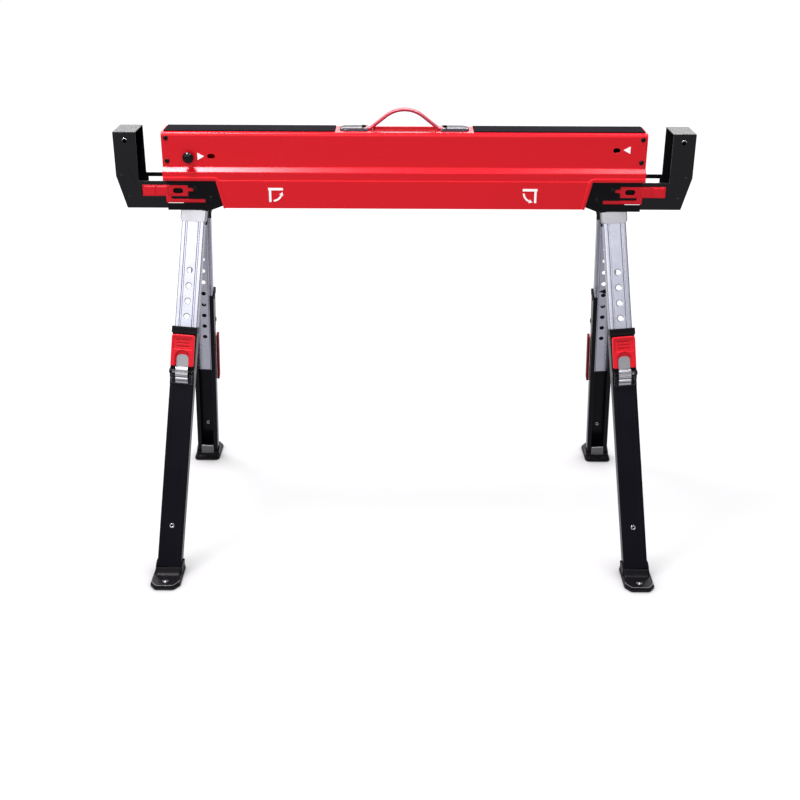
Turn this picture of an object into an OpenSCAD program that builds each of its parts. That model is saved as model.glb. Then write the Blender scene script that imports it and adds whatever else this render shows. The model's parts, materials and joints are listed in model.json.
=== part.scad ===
// Builders trestle: folding work support with height-adjustable legs and sliding end arms.
// Millimetres. X along the beam, front faces minus Y, floor at z = 0.

/* [Beam] */
// length of the beam shell
beam_len = 910; // [860:1:1000]
// height of the beam top above the floor
top_z = 818; // [760:1:860]
// height of the beam shell
beam_h = 141.5; // [137:0.5:150]
// depth of the upper part of the beam
upper_d = 72; // [66:1:84]
// room between the sliding arms and the outside of the skirt
skirt_room = 10.2; // [9.8:0.1:14]
// sheet thickness of the beam
sheet = 1.6; // [1.2:0.1:2]
// height of the skirt, from the beam underside to the crease
skirt_h = 52.5; // [50:0.5:60]
// height of the upright strip, from the crease to the shoulder's slope
strip_rise = 16; // [12:0.5:20]
// outside radius of the top bends
bend_r = 8; // [4:0.5:12]

/* [Top] */
// inner end of the grip pads from the middle
pad_inner = 130; // [126:1:180]
// width of the grip pads
pad_w = 54; // [40:1:56]
// thickness of the grip pads
pad_t = 2.2; // [1.5:0.1:4]
// half span of the strap bow
strap_half = 64; // [58:1:66]
// rise of the strap bow
strap_rise = 35; // [28:1:40]
// strap width
strap_w = 28; // [20:1:30]
// strap thickness
strap_t = 4.4; // [3:0.1:4.8]

/* [Legs] */
// sideways splay of the legs, front to back
splay = 19.2; // [16:0.1:20]
// outward lean of the legs, along the beam
rake = 4.5; // [2:0.1:5]
// leg line at the beam underside, in from the beam end
leg_inset = 54.3; // [52:0.1:60]
// leg face at the beam underside, from the middle plane
leg_y = 37.5; // [36:0.1:38]
// hinge bolt below the beam underside, along the leg
hinge_s = 19.6; // [18:0.1:22]
// width of the upper leg
upper_w = 43; // [40:0.5:44]
// depth of the upper leg
upper_leg_d = 20; // [16:0.5:20]
// lower end of the upper leg, along the leg
upper_end = 452; // [430:1:456]
// top of the lower leg, along the leg
lower_top = 229; // [215:1:240]
// hole pitch
pitch = 29.5; // [25:0.5:30]
// first hole, along the leg
hole_first = 121; // [110:0.5:122]
// radius of the leg holes
hole_r = 5; // [4.5:0.1:5.5]

/* [Latch] */
// turn line of the latch lever, along the leg
axle_s = 315; // [312:0.5:320]
// turn line of the latch lever, out from the upper leg face
axle_out = 8; // [7.5:0.1:9]
// angle at which the lever stands open at rest
lever_open = 5; // [4.5:0.1:6]
// radius of the lock pin
pin_r = 3.4; // [3:0.1:3.6]

/* [Feet] */
// foot width
foot_w = 58; // [54:1:64]
// foot length in front of the leg face
foot_front = 50; // [40:1:60]
// foot length behind the leg face
foot_back = 40; // [38:1:50]
// thickness of the foot rim
foot_t = 9; // [7:0.5:10]

/* [Arms] */
// inner face of the arm posts, out from the beam end
arm_reach = 47; // [42:1:58]
// width of the arm posts
arm_w = 43; // [38:1:48]
// outside depth of the arms
arm_d = 72.6; // [70:0.2:73]
// arm sheet thickness
arm_t = 2; // [1.5:0.1:2.2]

/* [Hidden] */
$fn = 48;
half = beam_len / 2;
hinge_x = half - leg_inset;
arm_in = half + arm_reach;
floor_gap = top_z - beam_h;
uh = upper_d / 2;
sh = arm_d / 2 + skirt_room;
strip_h = sh - 1;
crease_drop = beam_h - skirt_h;
strip_drop = crease_drop - strip_rise;
shoulder_drop = strip_drop - strip_h + uh + 1.5;
screw_inset = 11;
leg_t = 2;
cap_wall = 2.8;
out_gap = 0.4;
lower_t = 1.4;
side_gap = 0.3;
lower_w = upper_w + 2 * (side_gap + lower_t);
web_in = -out_gap;
web_out = -out_gap - lower_t;
lip_in = upper_leg_d + 0.6;
lip_out = lip_in + lower_t;
foot_s = floor_gap / cos(splay) / cos(rake);
lower_end = foot_s - 20.6;
pin_s = hole_first + 5 * pitch;
house_t = 1;
house_out = web_out - house_t;
house_w = lower_w + 2.6;
boss_r = axle_out + web_out - 0.1;
cheek_in = 20.5;
cheek_out = lower_w / 2;
running = 0.06;
bolt_r = 5;
bore_r = bolt_r + running;
hang_in = upper_leg_d + 1;
hang_t = 3;
guide_y = sh - sheet - 3.3;
guide_t = 2;
guide_in = -110;
guide_end = -6;
guide_top = crease_drop - 5;
guide_drop = beam_h + 4.5;
knob_x = half - 50;
knob_drop = shoulder_drop - 19;
mate_drop = shoulder_drop / 2 - 1.5;
limb_top = crease_drop + 3;
limb_low = beam_h - 17.5;
limb_in = -155;
post_low = beam_h + 2.5;
post_bend = crease_drop - 6;
hole_x = -26;
hole_drop = limb_low - 14;
foot_in = guide_end + side_gap + 0.2;
notch_top = -99;
notch_low = -112;
rivet_r = 4;
ah = arm_d / 2;
lock_back = ah + 0.3;
limb_back = ah - arm_t;
screw_r = 2;
spring_r = 4.4;
spring_wire = 0.7;
spring_turns = 4;
hub_half = 8.5;
spring_x = hub_half + 2.1;
spring_pitch = 1.9;
neck = spring_r + spring_wire + 1.4;
ring_n = 8;
curl_n = ring_n * spring_turns;
spring_gap = min([for (i = [0 : curl_n], j = [0 : curl_n]) if (j - i > ring_n / 2)
  norm(curl_at(j) - curl_at(i)) - 2 * spring_wire]);
echo(least_gap_of_spring = spring_gap);
strap_n = 10;
strap_foot = 14;
red = [0.80, 0.12, 0.15];
black = [0.08, 0.08, 0.09];
grey = [0.30, 0.29, 0.32];
zinc = [0.75, 0.76, 0.78];
steel = [0.60, 0.61, 0.63];

// a flat shape drawn in x and drop below the beam top, made solid from y0 to y1
module wall(y0, y1) {
  translate([0, y1, top_z]) rotate([90, 0, 0]) linear_extrude(y1 - y0) mirror([0, 1]) children();
}
// the same, with x counted outwards from the beam's right-hand end
module end_wall(y0, y1) { translate([half, 0, 0]) wall(y0, y1) children(); }
// a rectangle by its limits
module rect(x0, x1, d0, d1) { translate([x0, d0]) square([x1 - x0, d1 - d0]); }
// both ends of the beam, and both faces
module ends() { children(); mirror([1, 0, 0]) children(); }
module faces() { children(); mirror([0, 1, 0]) children(); }
// half-turn pair
module pair() { children(); rotate([0, 0, 180]) children(); }
// leg frame: x across the leg, y inwards from the leg face, z up the leg
module leg_frame() {
  translate([hinge_x, -leg_y, floor_gap]) rotate([-splay, 0, 0]) rotate([0, -rake, 0]) children();
}
module at_leg(left, rear) {
  mirror([left, 0, 0]) mirror([0, rear, 0]) children();
}
// a box by its limits
module box(x0, x1, y0, y1, z0, z1) {
  translate([x0, y0, z0]) cube([x1 - x0, y1 - y0, z1 - z0]);
}
// a rod along y in the leg frame
module cross_rod(r, y0, y1, s) { translate([0, y1, -s]) rotate([90, 0, 0]) cylinder(r = r, h = y1 - y0); }
// a rod along x
module side_rod(r, x0, x1, y, z) { translate([x0, y, z]) rotate([0, 90, 0]) cylinder(r = r, h = x1 - x0); }
// a flat shape with round ends
module stadium(l, h) {
  square([l - h, h], center = true);
  for (x = [-1, 1]) translate([x * (l - h) / 2, 0]) circle(d = h);
}
// a flat shape with round corners
module rounded(l, w, r) {
  square([l - 2 * r, w], center = true);
  square([l, w - 2 * r], center = true);
  for (x = [-1, 1], y = [-1, 1]) translate([x * (l / 2 - r), y * (w / 2 - r)]) circle(r);
}
// shell outline; in is the distance from the outer skin
module shell_outline(in) {
  t = beam_h - in;
  polygon([[-sh + in, -1], [-sh + in, beam_h - crease_drop], [-strip_h + in, beam_h - crease_drop + 1.5],
    [-strip_h + in, beam_h - strip_drop - in * 0.4], [-uh + in, beam_h - shoulder_drop - in * 0.4],
    [-uh + in, beam_h - bend_r], [-uh + bend_r, beam_h - bend_r], [-uh + bend_r, t], [uh - bend_r, t],
    [uh - bend_r, beam_h - bend_r], [uh - in, beam_h - bend_r], [uh - in, beam_h - shoulder_drop - in * 0.4],
    [strip_h - in, beam_h - strip_drop - in * 0.4], [strip_h - in, beam_h - crease_drop + 1.5],
    [sh - in, beam_h - crease_drop], [sh - in, -1]]);
  for (y = [-1, 1]) translate([y * (uh - bend_r), beam_h - bend_r]) circle(bend_r - in);
}
module screw_spots() {
  for (d = [screw_inset, shoulder_drop - screw_inset]) translate([half - 9, -uh, top_z - d]) children();
}
module guide_spots() {
  for (p = [[-60, crease_drop + 15], [-89, beam_h - 18.5]])
    translate([half + p[0], -guide_y - guide_t, top_z - p[1]]) children();
}
module screw() {
  difference() {
    union() {
      rotate([90, 0, 0]) cylinder(r1 = 4.6, r2 = 3.4, h = 2.2);
      translate([0, 3.4, 0]) rotate([90, 0, 0]) cylinder(r = screw_r, h = 3.5);
    }
    for (a = [0, 90]) rotate([0, a, 0]) box(-2.4, 2.4, -2.4, -1.2, -0.5, 0.5);
  }
}
module screw_hole() { translate([0, 9, 0]) rotate([90, 0, 0]) cylinder(r = screw_r + 0.1, h = 18); }

module beam_shell() color(red) difference() {
  translate([-half, 0, floor_gap]) rotate([90, 0, 90]) linear_extrude(beam_len) difference() {
    intersection() {
      shell_outline(0);
      translate([-sh, 0]) square([2 * sh, beam_h]);
    }
    shell_outline(sheet);
  }
  ends() end_wall(-sh - 1, sh + 1) polygon([[notch_top, crease_drop], [1, crease_drop], [1, beam_h + 1],
    [notch_low, beam_h + 1]]);
  ends() faces() screw_spots() screw_hole();
  pair() wall(-uh - 1, -uh + 4) translate([-knob_x + 42, knob_drop - 1]) stadium(14.3, 9);
  pair() wall(-uh - 1, -uh + 4) translate([knob_x - 7, mate_drop]) stadium(13.4, 9);
  pair() translate([-knob_x, -uh + 4, top_z - knob_drop]) rotate([90, 0, 0]) cylinder(r = 3.05, h = 8);
}
module grip_pad() color(grey) difference() {
  box(pad_inner, half - 3.5, -pad_w / 2, pad_w / 2, top_z, top_z + pad_t);
  for (x = [pad_inner, half - 3.5]) translate([x, 0, top_z + pad_t]) rotate([0, 45, 0])
    cube([1.6, pad_w + 2, 1.6], center = true);
}
// half of one face of the strap bow: a cap arc, a counter-arc and a flat end; up is 0 below and strap_t above
function bow_half(w, h, a, r, up) = concat(
  [for (k = [0 : strap_n]) [(r + up) * sin(a * k / strap_n), h - r + (r + up) * cos(a * k / strap_n)]],
  [for (k = [1 : strap_n]) let(c = a - a * k / strap_n) [w - (r - up) * sin(c), r - (r - up) * cos(c)]],
  [[w + strap_foot, up]]);
function flipped(p) = [for (i = [len(p) - 1 : -1 : 1]) [-p[i][0], p[i][1]]];
function backwards(p) = [for (i = [len(p) - 1 : -1 : 0]) p[i]];
module carry_strap() {
  w = strap_half;
  h = strap_rise;
  a = 2 * atan(h / w);
  r = w / 2 / sin(a);
  low = bow_half(w, h, a, r, 0);
  high = bow_half(w, h, a, r, strap_t);
  color(red) translate([0, strap_w / 2, top_z]) rotate([90, 0, 0]) linear_extrude(strap_w)
    polygon(concat(flipped(low), low, backwards(concat(flipped(high), high))));
}
module strap_cap() color(grey) difference() {
  translate([95, 0, top_z]) {
    linear_extrude(3.6) rounded(55, 48, 20);
    translate([0, 0, 3.6]) linear_extrude(2) rounded(51, 44, 18);
  }
  box(60, strap_half + 16, -strap_w / 2 - 0.4, strap_w / 2 + 0.4, top_z - 1, top_z + strap_t + 0.4);
}
module end_plate() color(black) difference() {
  union() {
    wall(-uh + sheet, uh - sheet) polygon([[half - 3.5, sheet], [half - 1.5, sheet], [half - 1.5, shoulder_drop],
      [half - 3.5, shoulder_drop]]);
    faces() wall(-uh + sheet, -uh + sheet + 2) polygon([[half - 18, 3 + bend_r - sheet],
      [half - 1.5, 3 + bend_r - sheet], [half - 1.5, shoulder_drop], [half - 18, shoulder_drop]]);
  }
  faces() screw_spots() screw_hole();
  wall(-uh + sheet - 1, uh) polygon([[half - 4, 0], [half, 0], [half, sheet], [half - 4, sheet]]);
  faces() difference() {
    box(half - 6, half, -uh + sheet - 1, -uh + bend_r, top_z - bend_r, top_z);
    translate([half - 7, -uh + bend_r, top_z - bend_r]) rotate([0, 90, 0]) cylinder(r = bend_r - sheet - 0.1, h = 8);
  }
}
module beam_screws() color(black) {
  ends() faces() screw_spots() screw();
  ends() faces() guide_spots() screw();
}
module slide_guide() color(black) {
  rail_in = limb_back - side_gap - arm_t;
  difference() {
    union() {
      faces() end_wall(-guide_y - guide_t, -guide_y) difference() {
        polygon([[guide_in, guide_top], [guide_end, guide_top], [guide_end, guide_drop], [guide_in + 21, guide_drop],
          [guide_in, guide_drop - 8]]);
        rect(hole_x - 21, 10, limb_top + 4, limb_low + 9);
        rect(hole_x - 31, hole_x - 20, hole_drop - 7, hole_drop + 3);
        rect(hole_x - 53, hole_x + 7, limb_low + 0.6, limb_low + 9);
      }
      end_wall(-strip_h + sheet, strip_h - sheet) rect(guide_in, guide_end, guide_top, guide_top + 2);
      faces() end_wall(-limb_back + side_gap, -rail_in) rect(guide_in, guide_end, guide_top + 1, limb_low + 3);
      faces() end_wall(-ah, -rail_in) rect(guide_in, guide_end, limb_low + side_gap, limb_low + 3);
    }
    box(hinge_x - 30, hinge_x + 28.5, -6, 6, top_z - guide_top - 6, top_z - guide_top + 4);
    faces() guide_spots() screw_hole();
  }
}
module arm() color(black) translate([arm_reach, 0, 0]) {
  o = arm_w;
  slant = 17;
  difference() {
    union() {
      faces() end_wall(-ah, -ah + arm_t) difference() {
        polygon([[0, 0], [o, 0], [o, post_bend], [o - slant, post_low], [foot_in - arm_reach, post_low],
          [foot_in - arm_reach, limb_low], [limb_in - arm_reach, limb_low], [limb_in - arm_reach, limb_top],
          [0, limb_top]]);
        rect(hole_x - 15 - arm_reach, -4, limb_top + 8, limb_low - 4);
      }
      end_wall(-ah, ah) polygon([[o, 0], [o, post_bend], [o - slant, post_low], [o - slant - arm_t, post_low],
        [o - arm_t, post_bend - 0.3], [o - arm_t, arm_t], [0, arm_t], [0, 0]]);
      faces() for (p = [[o - 11, post_bend + 1], [o - 23, post_low - 20]])
        translate([half + p[0], -ah, top_z - p[1]]) rotate([90, 0, 0]) cylinder(r1 = rivet_r, r2 = 2.6, h = 1.3);
    }
    translate([half + o - 22, ah + 1, top_z - 17]) rotate([90, 0, 0]) cylinder(r = 4, h = arm_d + 2);
  }
}
module arm_lock() color(red) {
  tail = hole_x + 26 - 3;
  end_wall(-lock_back - 2, -lock_back) difference() {
    union() {
      rect(hole_x - 19, arm_reach - 6, hole_drop - 10.5, hole_drop + 10.5);
      rect(hole_x - 29, hole_x - 18, hole_drop - 5.5, hole_drop + 1.5);
    }
    translate([hole_x, hole_drop]) stadium(19, 10);
  }
  for (x = [19, 43]) end_wall(-lock_back - 3.4, -lock_back - 1.9)
    rect(hole_x + x, hole_x + x + 20, hole_drop - 8, hole_drop + 8);
  end_wall(-lock_back - 4, -lock_back - 0.5) rect(tail - 10, tail, hole_drop + 9, limb_low + 8.5);
  end_wall(-lock_back - 4, -lock_back - 2.4) rect(tail - 74, tail, limb_low + 1.2, limb_low + 8.5);
}
module coupling_knobs() color(black) pair() translate([-knob_x, -uh, top_z - knob_drop]) rotate([90, 0, 0])
  rotate_extrude() polygon([[0, -4], [3, -4], [3, 0], [6, 0], [6, 4], [9.2, 5.6], [10.4, 8.6], [10, 11.4],
    [8, 13.8], [4.4, 15.2], [0, 15.6]]);
module hinge_hanger() color(black) difference() {
  union() {
    box(hinge_x - 26, hinge_x + 26, -3, 3, floor_gap + 36, top_z - sheet - 3);
    box(hinge_x - 26, hinge_x + 26, -24, 24, top_z - sheet - 3, top_z - sheet);
    faces() leg_frame() difference() {
      union() {
        box(-24, 24, hang_in, hang_in + hang_t, -hinge_s - 12, 46);
        cross_rod(11, leg_t + 0.3, hang_in + 1, hinge_s);
      }
    }
  }
  faces() leg_frame() cross_rod(bore_r, -20, 60, hinge_s);
  faces() box(hinge_x - 60, hinge_x + 60, 3, 60, floor_gap + 30, floor_gap + 80);
}
module hinge_bolts() color(steel) ends() faces() leg_frame() {
  cross_rod(bolt_r, -1.8, hang_in + hang_t + 1, hinge_s);
  cross_rod(8, hang_in + hang_t, hang_in + hang_t + 4, hinge_s);
}
module upper_leg() color(zinc) leg_frame() difference() {
  union() {
    box(-upper_w / 2, upper_w / 2, 0, upper_leg_d, -upper_end, -hinge_s);
    cross_rod(upper_w / 2, 0, upper_leg_d, hinge_s);
  }
  box(-upper_w / 2 + leg_t, upper_w / 2 - leg_t, leg_t, upper_leg_d + 1, -upper_end - 1, -hinge_s);
  cross_rod(upper_w / 2 - leg_t, leg_t, upper_leg_d + 1, hinge_s);
  box(-upper_w / 2 - 1, upper_w / 2 + 1, leg_t, upper_leg_d + 1, -hinge_s + 6, 10);
  cross_rod(bore_r, -1, leg_t + 1, hinge_s);
  for (k = [0 : 8]) {
    cross_rod(hole_r, -1, leg_t + 1, hole_first + k * pitch);
    translate([0, -0.05, -hole_first - k * pitch]) rotate([-90, 0, 0])
      cylinder(r1 = hole_r + 2.3, r2 = hole_r - 0.05, h = 1.2);
  }
  for (x = [-1, 1]) box(x * 12 - 1, x * 12 + 1, -1, 0.7, -upper_end - 1, -48);
}
module leg_cap() color(zinc) leg_frame() difference() {
  box(-upper_w / 2 - cap_wall, upper_w / 2 + cap_wall, -2, 14, -hinge_s - 8, -6);
  box(-upper_w / 2, upper_w / 2, 0, 20, -40, 0);
  cross_rod(bore_r, -5, 5, hinge_s);
}
module lower_leg() color(black) leg_frame() difference() {
  union() {
    box(-lower_w / 2, lower_w / 2, web_out, lip_out, -lower_end, -lower_top);
    for (x = [-1, 1]) box(x * 17.6 - 2.8, x * 17.6 + 2.8, web_out - 0.9, web_out + 0.5, -lower_end + 8, -axle_s - 32);
  }
  box(-lower_w / 2 + lower_t, lower_w / 2 - lower_t, web_in, lip_in, -lower_end - 1, -lower_top + 1);
  box(-lower_w / 2 + 9, lower_w / 2 - 9, lip_in - 1, lip_out + 1, -lower_end - 1, -lower_top + 1);
  cross_rod(hole_r + 1.2, -5, 1, pin_s);
}
module latch_housing() color(black) leg_frame() difference() {
  union() {
    box(-cheek_out, cheek_out, house_out, web_out, -axle_s - 26, -lower_top);
    box(-house_w / 2, house_w / 2, -11, web_out, -lower_top - 12.5, -lower_top);
    for (x = [-1, 1]) {
      box(x > 0 ? lower_w / 2 : -house_w / 2, x > 0 ? house_w / 2 : -lower_w / 2, web_out - 1, 14,
        -lower_top - 12.5, -lower_top);
      box(x > 0 ? cheek_in : -cheek_out, x > 0 ? cheek_out : -cheek_in, -7, web_out, -axle_s - 12, -lower_top - 8);
      side_rod(boss_r, x > 0 ? cheek_in : -cheek_out, x > 0 ? cheek_out : -cheek_in, -axle_out, -axle_s);
    }
  }
  cross_rod(hole_r + 1.2, -5, 1, pin_s);
  side_rod(2.5 + 0.1, -30, 30, -axle_out, -axle_s);
  box(-house_w / 2 + 3, house_w / 2 - 3, -20, -9.5, -lower_top - 9.5, -lower_top - 3);
}
// the lever is drawn standing open by lever_open about its axle, the lock pin just clear of the upper leg
module lever_frame() {
  translate([0, -axle_out, -axle_s]) rotate([lever_open, 0, 0]) translate([0, axle_out, axle_s]) children();
}
module latch_lever() color(zinc) leg_frame() lever_frame() difference() {
  union() {
    box(-11.5, 11.5, -axle_out - 1.2, -axle_out + 0.4, -axle_s + neck, -axle_s + 68);
    box(-hub_half, hub_half, -axle_out - 1.2, -axle_out + 0.4, -axle_s, -axle_s + neck + 1);
    side_rod(5, -hub_half, hub_half, -axle_out, -axle_s);
    cross_rod(pin_r, -axle_out, 2.6, pin_s);
  }
  side_rod(2.5 + 0.08, -30, 30, -axle_out, -axle_s);
}
module latch_grip() color(red) leg_frame() lever_frame() difference() {
  union() {
    box(-22, 22, -axle_out - 5.4, -axle_out - 1.2, -axle_s + 11, -axle_s + 71.5);
    difference() {
      box(-22, 22, -axle_out - 7.2, -axle_out - 5.4, -axle_s + 11, -axle_s + 71.5);
      box(-18.5, 18.5, -axle_out - 9, -axle_out - 5.4, -axle_s + 44, -axle_s + 68);
    }
  }
  for (k = [0 : 2]) box(-15, 15, -axle_out - 9, -axle_out - 4.4, -axle_s + 48.5 + k * 6, -axle_s + 51 + k * 6);
  box(-12.5, 12.5, -30, 0, -axle_s, -axle_s + 28);
  cross_rod(12.5, -30, 0, axle_s - 28);
}
module latch_axle() color(zinc) leg_frame() {
  side_rod(2.5, -cheek_out - 0.1, cheek_out + 0.1, -axle_out, -axle_s);
  for (x = [-1, 1]) side_rod(3.8, x > 0 ? cheek_out : -cheek_out - 1.2, x > 0 ? cheek_out + 1.2 : -cheek_out,
    -axle_out, -axle_s);
  for (x = [-1, 1]) difference() {
    union() {
      side_rod(4.6, x > 0 ? 18.8 : -20.3, x > 0 ? 20.3 : -18.8, -axle_out, -axle_s);
      box(x > 0 ? 18.8 : -20.3, x > 0 ? 20.3 : -18.8, -axle_out, house_out, -axle_s - 14, -axle_s + 4);
    }
  }
  box(-20.3, 20.3, house_out - 1.4, house_out, -axle_s - 24, -axle_s - 7);
}
// one wire of the torsion spring, curled around the axle
function curl_at(i) = let(a = 360 * i / ring_n) [spring_x + spring_pitch * i / ring_n,
  spring_r * sin(a), spring_r * cos(a)];
function curl_out(i) = let(a = 360 * i / ring_n) [0, sin(a), cos(a)];
module spring_wire_form() {
  n = curl_n;
  pts = [for (i = [0 : n], k = [0 : 5]) curl_at(i) + spring_wire * (cos(60 * k) * curl_out(i)
    + sin(60 * k) * [1, 0, 0])];
  sides = [for (i = [0 : n - 1], k = [0 : 5]) [6 * i + k, 6 * i + (k + 1) % 6, 6 * i + 6 + (k + 1) % 6, 6 * i + 6 + k]];
  polyhedron(points = pts, faces = concat([[0, 1, 2, 3, 4, 5]],
    [for (f = sides) [f[3], f[2], f[1], f[0]]], [[for (k = [5 : -1 : 0]) 6 * n + k]]), convexity = 6);
}
module latch_spring() color(steel) leg_frame() translate([0, -axle_out, -axle_s]) spring_wire_form();
module foot() color(black) difference() {
  union() {
    translate([0, 0, 0]) foot_base();
    intersection() {
      leg_frame() {
        for (x = [-1, 1]) {
          box(x > 0 ? lower_w / 2 : -lower_w / 2 - 2.6, x > 0 ? lower_w / 2 + 2.6 : -lower_w / 2, -1, 21,
            -foot_s - 30, -foot_s + 22);
          side_rod(11, x > 0 ? lower_w / 2 : -lower_w / 2 - 2.6, x > 0 ? lower_w / 2 + 2.6 : -lower_w / 2,
            10, -foot_s + 22);
        }
        box(-lower_w / 2 - 2.6, lower_w / 2 + 2.6, web_out - 4, web_out - 1, -foot_s - 30, -foot_s + 16);
        box(-lower_w / 2 - 2.6, lower_w / 2 + 2.6, lip_out, lip_out + 2.6, -foot_s - 30, -foot_s + 22);
        for (x = [-1, 1]) box(x > 0 ? lower_w / 2 : -lower_w / 2 - 2.6, x > 0 ? lower_w / 2 + 2.6 : -lower_w / 2,
          web_out - 4, lip_out + 2.6, -foot_s - 30, -foot_s + 10);
      }
      box(300, 600, -500, 0, foot_t - 1, 120);
    }
  }
  foot_bolt_at() translate([0, 0, -20]) cylinder(r = 3.1, h = 40);
}
module foot_base() {
  x = hinge_x + foot_s * sin(rake);
  y = -leg_y - foot_s * cos(rake) * sin(splay);
  translate([x, y, 0]) linear_extrude(foot_t) polygon([[-foot_w / 2, foot_back], [foot_w / 2, foot_back],
    [foot_w / 2, -foot_front + 13], [foot_w / 2 - 13, -foot_front], [-foot_w / 2 + 13, -foot_front],
    [-foot_w / 2, -foot_front + 13]]);
}
module foot_bolt_at() {
  x = hinge_x + foot_s * sin(rake);
  y = -leg_y - foot_s * cos(rake) * sin(splay);
  translate([x, y - foot_front + 20, foot_t]) children();
}
module foot_bolt() color(steel) foot_bolt_at() {
  translate([0, 0, -6]) cylinder(r = 3, h = 6.5);
  cylinder(r1 = 6.5, r2 = 4.2, h = 2.8);
}

beam_shell();
mirror([1, 0, 0]) grip_pad();  // grip_pad_left
grip_pad();  // grip_pad_right
carry_strap();
mirror([1, 0, 0]) strap_cap();  // strap_cap_left
strap_cap();  // strap_cap_right
mirror([1, 0, 0]) end_plate();  // end_plate_left
end_plate();  // end_plate_right
beam_screws();
mirror([1, 0, 0]) slide_guide();  // slide_guide_left
slide_guide();  // slide_guide_right
mirror([1, 0, 0]) arm();  // arm_left
arm();  // arm_right
mirror([1, 0, 0]) arm_lock();  // arm_lock_left
arm_lock();  // arm_lock_right
coupling_knobs();
mirror([1, 0, 0]) hinge_hanger();  // hinge_hanger_left
hinge_hanger();  // hinge_hanger_right
hinge_bolts();
at_leg(1, 0) upper_leg();  // upper_leg_fl
at_leg(1, 0) leg_cap();  // leg_cap_fl
at_leg(1, 0) lower_leg();  // lower_leg_fl
at_leg(1, 0) latch_housing();  // latch_housing_fl
at_leg(1, 0) latch_lever();  // latch_lever_fl
at_leg(1, 0) latch_grip();  // latch_grip_fl
at_leg(1, 0) latch_axle();  // latch_axle_fl
at_leg(1, 0) latch_spring();  // latch_spring_fl
at_leg(1, 0) foot();  // foot_fl
at_leg(1, 0) foot_bolt();  // foot_bolt_fl
at_leg(0, 0) upper_leg();  // upper_leg_fr
at_leg(0, 0) leg_cap();  // leg_cap_fr
at_leg(0, 0) lower_leg();  // lower_leg_fr
at_leg(0, 0) latch_housing();  // latch_housing_fr
at_leg(0, 0) latch_lever();  // latch_lever_fr
at_leg(0, 0) latch_grip();  // latch_grip_fr
at_leg(0, 0) latch_axle();  // latch_axle_fr
at_leg(0, 0) latch_spring();  // latch_spring_fr
at_leg(0, 0) foot();  // foot_fr
at_leg(0, 0) foot_bolt();  // foot_bolt_fr
at_leg(1, 1) upper_leg();  // upper_leg_rl
at_leg(1, 1) leg_cap();  // leg_cap_rl
at_leg(1, 1) lower_leg();  // lower_leg_rl
at_leg(1, 1) latch_housing();  // latch_housing_rl
at_leg(1, 1) latch_lever();  // latch_lever_rl
at_leg(1, 1) latch_grip();  // latch_grip_rl
at_leg(1, 1) latch_axle();  // latch_axle_rl
at_leg(1, 1) latch_spring();  // latch_spring_rl
at_leg(1, 1) foot();  // foot_rl
at_leg(1, 1) foot_bolt();  // foot_bolt_rl
at_leg(0, 1) upper_leg();  // upper_leg_rr
at_leg(0, 1) leg_cap();  // leg_cap_rr
at_leg(0, 1) lower_leg();  // lower_leg_rr
at_leg(0, 1) latch_housing();  // latch_housing_rr
at_leg(0, 1) latch_lever();  // latch_lever_rr
at_leg(0, 1) latch_grip();  // latch_grip_rr
at_leg(0, 1) latch_axle();  // latch_axle_rr
at_leg(0, 1) latch_spring();  // latch_spring_rr
at_leg(0, 1) foot();  // foot_rr
at_leg(0, 1) foot_bolt();  // foot_bolt_rr
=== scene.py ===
"""Looks of the folding builders trestle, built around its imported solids.

Lengths in this file are millimetres in the part's own frame (x along the beam, front towards
minus y, floor at z = 0) and become metres when a mesh is made.
"""

from __future__ import annotations

import json
import logging
import math
from collections.abc import Callable
from dataclasses import dataclass, field
from enum import Enum

import bmesh
import bpy
import numpy as np
from mathutils import Matrix, Vector

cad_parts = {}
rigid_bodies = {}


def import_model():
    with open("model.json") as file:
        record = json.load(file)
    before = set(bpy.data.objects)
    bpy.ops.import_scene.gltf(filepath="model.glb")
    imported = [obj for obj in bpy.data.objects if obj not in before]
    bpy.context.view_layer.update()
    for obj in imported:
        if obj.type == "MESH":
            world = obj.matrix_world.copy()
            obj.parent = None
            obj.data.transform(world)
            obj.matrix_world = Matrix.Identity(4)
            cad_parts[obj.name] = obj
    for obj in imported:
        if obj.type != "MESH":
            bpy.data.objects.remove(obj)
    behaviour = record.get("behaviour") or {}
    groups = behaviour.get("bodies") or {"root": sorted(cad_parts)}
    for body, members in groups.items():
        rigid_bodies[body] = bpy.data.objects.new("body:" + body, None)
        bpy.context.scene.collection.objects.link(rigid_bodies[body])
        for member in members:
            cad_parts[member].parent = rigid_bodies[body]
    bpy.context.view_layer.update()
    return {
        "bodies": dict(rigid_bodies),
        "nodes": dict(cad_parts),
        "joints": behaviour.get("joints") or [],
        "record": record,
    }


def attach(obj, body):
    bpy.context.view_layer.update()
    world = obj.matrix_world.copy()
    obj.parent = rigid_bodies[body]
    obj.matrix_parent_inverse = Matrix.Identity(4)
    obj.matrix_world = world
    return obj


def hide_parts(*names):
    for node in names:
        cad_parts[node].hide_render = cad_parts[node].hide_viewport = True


LOG = logging.getLogger("trestle")
MM = 0.001
# Radius that a turned shape keeps on its axis, and the most that a bead's foot sinks into its face
AXIS_RADIUS = 0.02
BEAD_SINK = 0.8
# Reach of the lighter edges, partly wear and partly a painted edge highlight, in metres
WEAR_AND_HIGHLIGHT_RADIUS = 0.0012
# Corners above this many radians count as sharp, and flats within this many degrees become one face
SHARP = 0.6
FLAT = 1.0
# Sockets of a colour mix node: share, first colour, second colour and result
MIX_SHARE, MIX_FIRST, MIX_SECOND, MIX_RESULT = 0, 6, 7, 2
Array = np.ndarray
Point = tuple[float, float, float]
Colour = tuple[float, float, float]
Tree, Node, Socket = bpy.types.NodeTree, bpy.types.Node, bpy.types.NodeSocket


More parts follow.
